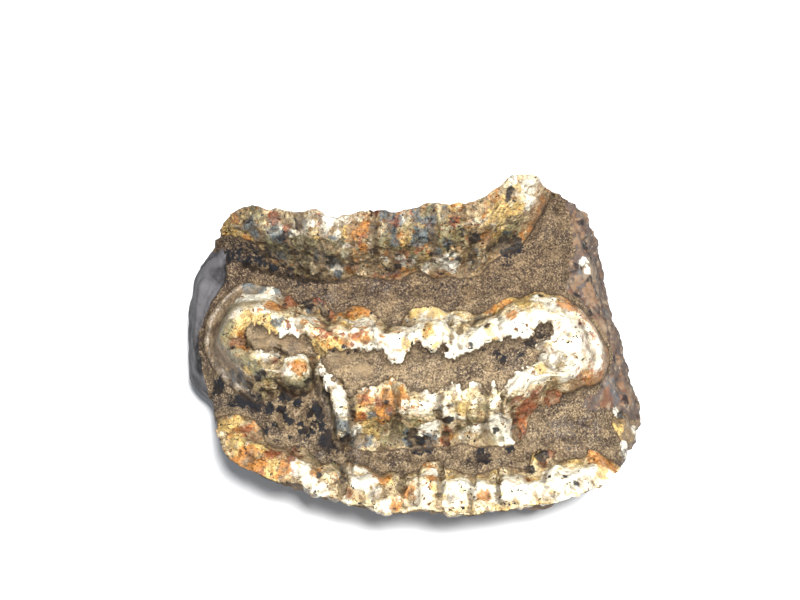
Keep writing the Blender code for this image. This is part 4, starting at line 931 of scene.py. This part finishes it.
def feed(socket, value):
    """Link an input to an output, or set it to a plain value."""
    if isinstance(value, bpy.types.NodeSocket):
        tree.links.new(value, socket)
    else:
        socket.default_value = value


def add_node(kind, inputs, **settings):
    """A node in the tree that is being built, with its settings and what feeds it."""
    node = tree.nodes.new("ShaderNode" + kind)
    for name, value in settings.items():
        setattr(node, name, value)
    for title, value in inputs.items():
        feed(node.inputs[title], value)
    return node


def math_node(operation, *values, clamp=False):
    """A math node fed by sockets or plain numbers."""
    return add_node("Math", dict(enumerate(values)), operation=operation, use_clamp=clamp).outputs[0]


def vector_node(operation, *values):
    """A vector math node fed by sockets or plain vectors."""
    return add_node("VectorMath", dict(enumerate(values)), operation=operation).outputs[0]


def plus(first, second):
    """The sum of two sockets or numbers."""
    return math_node("ADD", first, second)


def minus(first, second):
    """The difference of two sockets or numbers."""
    return math_node("SUBTRACT", first, second)


def times(first, second):
    """The product of two sockets or numbers."""
    return math_node("MULTIPLY", first, second)


def mix_colour(factor, first, second, blend="MIX"):
    """One colour laid over another by a factor."""
    return add_node("Mix", {"Factor": factor, "A": first, "B": second},
                    data_type="RGBA", blend_type=blend).outputs["Result"]


def toned(factor, colour, tint):
    """A colour multiplied by a tint, by a factor."""
    return mix_colour(factor, colour, tint, "MULTIPLY")


def smooth_step(value, low, high):
    """A map range node that eases from 0 at low to 1 at high."""
    return add_node("MapRange", {"From Min": low, "From Max": high, "Value": value},
                    interpolation_type="SMOOTHSTEP").outputs["Result"]


def noise(scale, seed, detail=4.0, roughness=0.6, distortion=0.4, where=None):
    """A noise pattern, with its seed as the fourth dimension, read at the surface's place."""
    return add_node("TexNoise", {"Vector": here if where is None else where, "Scale": scale,
                                 "W": seed, "Detail": detail, "Roughness": roughness,
                                 "Distortion": distortion}, noise_dimensions="4D").outputs["Fac"]


def swing(scale, seed, size, *texture):
    """Noise that swings about zero."""
    return times(minus(noise(scale, seed, *texture), 0.5), size)


def patchy(scale, seed, low, high, *texture):
    """Noise patches: 0 where the noise is below low, 1 where it is above high."""
    return smooth_step(noise(scale, seed, *texture), low, high)


def new_group(name, inputs, outputs):
    """An empty shader group with named sockets, the values it is given and those it has to make."""
    group = bpy.data.node_groups.new(name, "ShaderNodeTree")
    for way, sockets in (("INPUT", inputs), ("OUTPUT", outputs)):
        for title, kind in sockets.items():
            group.interface.new_socket(title, in_out=way, socket_type="NodeSocket" + kind)
    return group, group.nodes.new("NodeGroupInput").outputs, group.nodes.new("NodeGroupOutput").inputs


stain_group, given, made = new_group(
    "stain_in_enamel", {"Colour": "Color", "Pigment": "Color", "Cover": "Float", "Blotch Scale": "Float",
                        "Seed": "Float", "Strength": "Float", "Place": "Vector"}, {"Colour": "Color"})
# The functions above build in `tree` and read their patterns at `here`.
tree, here = stain_group, given["Place"]
spread = plus(swing(given["Blotch Scale"], given["Seed"], 1.9, 2.0, 0.5, 0.5),
              swing(1500.0, given["Seed"], 0.8, 3.0, 0.6, 0.0))
level = plus(minus(spread, 0.42), given["Cover"])
laid = math_node("MULTIPLY", smooth_step(level, -0.16, 0.2), given["Strength"], clamp=True)
feed(made["Colour"], mix_colour(laid, given["Colour"], given["Pigment"]))

speck_group, given, made = new_group(
    "mineral_specks", {"Colour": "Color", "Speck": "Color", "Speck Scale": "Float", "Rarity": "Float",
                       "Seed": "Float", "Place": "Vector"}, {"Colour": "Color"})
tree, here = speck_group, given["Place"]
wander = add_node("TexNoise", {"Scale": 1100.0, "Detail": 2.0, "Vector": here}).outputs["Color"]
shift = vector_node("MULTIPLY_ADD", wander, (0.0018, 0.0018, 0.0018), given["Seed"])
uneven = vector_node("ADD", here, shift)
dots = add_node("TexVoronoi", {"Vector": uneven, "Scale": given["Speck Scale"]}).outputs
chance = add_node("SeparateColor", {"Color": dots["Color"]}).outputs
present = plus(minus(chance[0], given["Rarity"]), swing(220.0, given["Seed"], 1.6, 2.0, 0.5, 0.0))
reach = plus(times(chance[1], 0.33), 0.08)
speck = times(smooth_step(minus(reach, dots["Distance"]), 0.0, 0.1), smooth_step(present, 0.0, 0.08))
feed(made["Colour"], mix_colour(speck, given["Colour"], given["Speck"]))

# Each pigment's colour, the scale of its blotches and how strongly it covers.
PIGMENTS = {
    "white": ((0.55, 0.53, 0.45, 1), 330.0, 0.93),
    "honey": ((0.39, 0.275, 0.10, 1), 400.0, 0.87),
    "orange": ((0.28, 0.115, 0.026, 1), 500.0, 0.88),
    "olive": ((0.13, 0.12, 0.062, 1), 380.0, 0.8),
    "slate_and_shade": ((0.055, 0.078, 0.095, 1), 400.0, 0.85),
    "rust": ((0.15, 0.046, 0.022, 1), 450.0, 0.88),
    "soot_and_shadow": ((0.007, 0.008, 0.011, 1), 600.0, 0.95),
}
CREAM, BUFF, WHITE = (0.42, 0.34, 0.20, 1), (0.16, 0.112, 0.06, 1), PIGMENTS["white"][0]
SAND, SAND_DARK, SAND_PALE = (0.135, 0.098, 0.06, 1), (0.042, 0.031, 0.024, 1), (0.29, 0.22, 0.135, 1)
BASIN_SAND, UMBER = (0.145, 0.107, 0.066, 1), (0.025, 0.017, 0.016, 1)
CEMENT, CEMENT_RUST = (0.072, 0.054, 0.046, 1), (0.135, 0.078, 0.046, 1)
DENTINE, DENTINE_PALE = (0.09, 0.055, 0.03, 1), (0.20, 0.135, 0.075, 1)
# The first colour here darkens the hollows as painted shade with grime, and also lines the enamel's border.
GRIME_AND_SHADE, TAN, SOOT_AND_SHADOW = (0.03, 0.018, 0.010, 1), (0.20, 0.14, 0.08, 1), PIGMENTS["soot_and_shadow"][0]
# How strongly the growth lines show at each end, and their colours by depth as a share of 10 mm.
GROWTH_ENDS = {
    "left_end": (0.85, [(0.0, (0.03, 0.024, 0.02)), (1.0, (0.50, 0.42, 0.27)), (0.05, (0.10, 0.08, 0.065)),
                        (0.10, (0.28, 0.25, 0.22)), (0.15, (0.09, 0.065, 0.045)),
                        (0.30, (0.13, 0.085, 0.05)), (0.38, (0.085, 0.08, 0.05)),
                        (0.52, (0.16, 0.145, 0.09)), (0.66, (0.36, 0.29, 0.17))]),
    "right_end": (0.75, [(0.0, (0.05, 0.025, 0.014)), (1.0, (0.56, 0.53, 0.44)), (0.04, (0.19, 0.08, 0.03)),
                         (0.09, (0.33, 0.23, 0.13)), (0.13, (0.16, 0.07, 0.025)), (0.18, (0.42, 0.33, 0.2)),
                         (0.24, (0.26, 0.13, 0.05)), (0.30, (0.5, 0.45, 0.33))]),
}

fossil = bpy.data.materials.new("stained_fossil_enamel")
fossil.use_nodes = True
tree = fossil.node_tree
shader = tree.nodes["Principled BSDF"]
here = add_node("TexCoord", {}).outputs["Object"]


def mask_of(name):
    """A mask kept on the mesh's points."""
    return add_node("Attribute", {}, attribute_name=name).outputs["Fac"]


def crisp_mask(name, seed):
    """A kept mask with a sharp but ragged border."""
    return smooth_step(plus(mask_of(name), swing(1300.0, seed, 0.7, 3.0)), 0.42, 0.58)


def ramp_of(value, stops):
    """A colour ramp with the given stops."""
    node = add_node("ValToRGB", {"Fac": value})
    for number, (position, colour) in enumerate(stops):
        stop = node.color_ramp.elements[number] if number < 2 else node.color_ramp.elements.new(position)
        stop.position = position
        stop.color = (*colour, 1)
    return node.outputs["Color"]


def stained(colour, *stains):
    """A colour under stain groups: pigment, mask or even cover, blotch scale, strength and seed of each."""
    for pigment, cover, scale, strength, seed in stains:
        cover = mask_of(cover) if isinstance(cover, str) else cover
        colour = add_node("Group", {"Colour": colour, "Pigment": pigment, "Cover": cover,
                                    "Blotch Scale": scale, "Strength": strength, "Seed": seed,
                                    "Place": here}, node_tree=stain_group).outputs["Colour"]
    return colour


def specked(colour, speck, scale, rarity, seed):
    """A colour under one speck group."""
    return add_node("Group", {"Colour": colour, "Speck": speck, "Speck Scale": scale, "Rarity": rarity,
                              "Seed": seed, "Place": here}, node_tree=speck_group).outputs["Colour"]


base = plus(noise(420.0, 1.0), times(minus(mask_of("pale"), 0.4), 0.45))
coat = mix_colour(smooth_step(base, 0.38, 0.62), BUFF, CREAM)
# Crests pale toward white: wear with a painted highlight.
worn = times(times(mask_of("crest_wear_and_highlight"), patchy(450.0, 53.0, 0.36, 0.54)), mask_of("pale"))
coat = mix_colour(times(worn, 0.8), coat, WHITE)
growth = plus(mask_of("growth"), swing(300.0, 21.0, 0.12))
for end, (strength, stops) in GROWTH_ENDS.items():
    coat = mix_colour(times(mask_of(end), strength), coat, ramp_of(growth, stops))
coat = stained(coat, *[(pigment, stain, scale, strength, 3.0 + number * 5.7)
                       for number, (stain, (pigment, scale, strength)) in enumerate(PIGMENTS.items())])
# Painted shade on the back ridge, darker toward its foot and on its left.
coat = stained(coat, ((0.030, 0.026, 0.022, 1), "back_ridge_shade", 1000.0, 0.6, 47.0))
coat = specked(coat, (0.10, 0.045, 0.015, 1), 900.0, 0.62, 51.0)
on_colour = minus(1.0, times(mask_of("white"), 0.8))
for tint, scale, seed in (((0.72, 0.52, 0.36, 1), 800.0, 81.0), ((0.55, 0.57, 0.55, 1), 700.0, 83.0),
                          ((0.32, 0.25, 0.20, 1), 1700.0, 85.0), ((1.45, 1.42, 1.35, 1), 1800.0, 87.0)):
    mottle = times(patchy(scale, seed, 0.53, 0.62, 3.0, 0.6, 0.6), on_colour)
    coat = toned(times(mottle, 0.7), coat, tint)
wander = add_node("TexNoise", {"Scale": 500.0, "Vector": here}).outputs["Color"]
uneven = vector_node("MULTIPLY_ADD", wander, (0.003, 0.003, 0.003), here)
veins = add_node("TexVoronoi", {"Scale": 330.0, "Vector": uneven}, feature="DISTANCE_TO_EDGE")
vein = times(smooth_step(veins.outputs["Distance"], 0.055, 0.01), patchy(200.0, 89.0, 0.46, 0.58))
coat = mix_colour(times(vein, 0.55), coat, (0.12, 0.095, 0.07, 1))
coat = mix_colour(times(mask_of("bands"), 0.3), coat, (0.17, 0.13, 0.09, 1))
# Painted shade with grime: the hollows darken toward a dark grime colour.
hollow_shade_and_grime = times(mask_of("hollow"), patchy(500.0, 57.0, 0.28, 0.50))
shade_and_dust_colour = mix_colour(patchy(350.0, 59.0, 0.42, 0.55), GRIME_AND_SHADE, SAND)
coat = mix_colour(times(hollow_shade_and_grime, 0.75), coat, shade_and_dust_colour)
fine = noise(2300.0, 91.0, 3.0, 0.8, 0.0)
for low, high, tint in ((0.47, 0.38, (0.22, 0.17, 0.14, 1)), (0.54, 0.63, (1.8, 1.75, 1.65, 1))):
    coat = toned(times(smooth_step(fine, low, high), times(on_colour, 0.75)), coat, tint)
fewer_on_white = minus(plus(times(mask_of("white"), 0.2), 0.48), times(mask_of("back_ridge_shade"), 0.2))
coat = specked(coat, (0.01, 0.01, 0.012, 1), 1250.0, fewer_on_white, 61.0)

sand = mix_colour(patchy(240.0, 71.0, 0.38, 0.62, 3.0), SAND_DARK, SAND)
sand = mix_colour(mask_of("basin"), sand, BASIN_SAND)
sand = stained(sand, (TAN, "tan", 420.0, 0.8, 78.0), (UMBER, "umber", 500.0, 0.85, 77.0),
               ((0.075, 0.072, 0.078, 1), "slate_and_shade", 700.0, 0.65, 72.0),
               ((0.055, 0.045, 0.04, 1), 0.28, 160.0, 0.7, 75.0),
               ((0.15, 0.10, 0.055, 1), 0.25, 200.0, 0.6, 76.0),
               (BASIN_SAND, 0.22, 300.0, 0.7, 79.0),
               ((0.045, 0.031, 0.026, 1), times(mask_of("rear"), 0.42), 500.0, 0.7, 93.0))
streaked = vector_node("MULTIPLY", here, (0.25, 1.0, 1.0))
for pigment, seed in (((0.03, 0.022, 0.017, 1), 73.0), ((0.19, 0.14, 0.085, 1), 74.0)):
    streaks = smooth_step(noise(480.0, seed, 3.0, where=streaked), 0.5, 0.66)
    sand = mix_colour(times(streaks, 0.45), sand, pigment)
grains = noise(2500.0, 81.0, 4.0, 0.85, 0.0)
gritty = minus(0.85, times(mask_of("smooth"), 0.6))
for low, high, grain in ((0.52, 0.59, SAND_PALE), (0.48, 0.42, (0.022, 0.015, 0.012, 1))):
    sand = mix_colour(times(smooth_step(grains, low, high), gritty), sand, grain)
sand = toned(mask_of("rear"), sand, (0.82, 0.79, 0.77, 1))
sand = stained(sand, (SOOT_AND_SHADOW, "soot_and_shadow", 1300.0, 0.97, 95.0))
# Painted shade with grime in the hollows of the sand.
sand = mix_colour(times(mask_of("hollow"), 0.35), sand, GRIME_AND_SHADE)

cement = mix_colour(patchy(500.0, 101.0, 0.5, 0.64), CEMENT, CEMENT_RUST)
cement = stained(cement, ((0.10, 0.105, 0.11, 1), "slate_and_shade", 500.0, 0.6, 111.0),
                 ((0.15, 0.062, 0.032, 1), "rust", 500.0, 0.6, 113.0),
                 ((0.21, 0.16, 0.11, 1), 0.28, 300.0, 0.7, 117.0),
                 ((0.018, 0.013, 0.012, 1), 0.22, 450.0, 0.7, 119.0),
                 ((0.17, 0.105, 0.062, 1), "tan", 700.0, 0.8, 121.0),
                 (WHITE, "white", 900.0, 0.8, 123.0), (SOOT_AND_SHADOW, "soot_and_shadow", 600.0, 0.85, 127.0))
slaty = mix_colour(patchy(130.0, 125.0, 0.35, 0.65), (0.010, 0.0095, 0.010, 1), (0.075, 0.072, 0.078, 1))
core = mix_colour(patchy(260.0, 131.0, 0.40, 0.62), DENTINE, DENTINE_PALE)
core = specked(core, (0.05, 0.03, 0.02, 1), 1000.0, 0.5, 141.0)

skin = mix_colour(crisp_mask("enamel", 171.0), sand, coat)
border = times(smooth_step(mask_of("enamel"), 0.05, 0.35), smooth_step(mask_of("enamel"), 0.85, 0.5))
skin = mix_colour(times(border, 0.65), skin, GRIME_AND_SHADE)
# Painted shade: the clefts darken to near black.
skin = mix_colour(times(mask_of("cleft_shade"), 0.8), skin, (0.008, 0.006, 0.005, 1))
skin = mix_colour(crisp_mask("flank", 173.0), skin, cement)
skin = mix_colour(crisp_mask("lump", 175.0), skin, slaty)
feed(shader.inputs["Base Color"], mix_colour(mask_of("dentine"), skin, core))
shader.inputs["Specular IOR Level"].default_value = 0.1

rough = math_node("MULTIPLY_ADD", noise(900.0, 151.0), 0.35, 0.16)
for zone, dullness in (("sediment", 0.5), ("dentine", 0.35), ("flank", 0.3), ("lump", 0.2)):
    rough = plus(rough, times(mask_of(zone), dullness))
feed(shader.inputs["Roughness"], rough)
grit = noise(1600.0, 161.0, 4.0, 0.7, 0.0)
bump = add_node("Bump", {"Strength": 0.85, "Distance": 0.00035, "Height": grit})
feed(shader.inputs["Normal"], bump.outputs["Normal"])

tooth.data.materials.clear()
tooth.data.materials.append(fossil)
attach(tooth, "root")
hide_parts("tooth")

# Studio.
# A plain pale floor and a soft light overhead, as in the photograph, in a bright white room.
FLOOR_SIZE = 3.0
bpy.ops.object.select_all(action="DESELECT")
bpy.ops.mesh.primitive_plane_add(size=FLOOR_SIZE, location=(0, 0, 0))
floor = bpy.context.active_object
floor.name = "pale_floor"
paper = bpy.data.materials.new("pale_paper")
paper.use_nodes = True
paper_shader = paper.node_tree.nodes["Principled BSDF"]
paper_shader.inputs["Base Color"].default_value = (0.46, 0.465, 0.48, 1)
paper_shader.inputs["Roughness"].default_value = 0.9
floor.data.materials.append(paper)


def soft_light(name, size, power, place_mm, colour):
    """A square soft light that faces the tooth."""
    bpy.ops.object.light_add(type="AREA", location=Vector(place_mm) * MM)
    lamp = bpy.context.active_object
    lamp.name = name
    lamp.data.size = size
    lamp.data.energy = power
    lamp.data.color = colour
    lamp.rotation_euler = lamp.location.to_track_quat("Z", "Y").to_euler()


soft_light("window_above", 0.075, 10.4, (52, -57, 572), (1.0, 0.985, 0.95))
soft_light("white_card_in_front", 0.40, 0.8, (-60, -520, 230), (0.92, 0.96, 1.0))
world = bpy.data.worlds.new("white_room")
bpy.context.scene.world = world
world.use_nodes = True
background = world.node_tree.nodes["Background"]
background.inputs["Color"].default_value = (0.90, 0.95, 1.0, 1)
background.inputs["Strength"].default_value = 0.52
bpy.context.scene.view_settings.view_transform = "Standard"
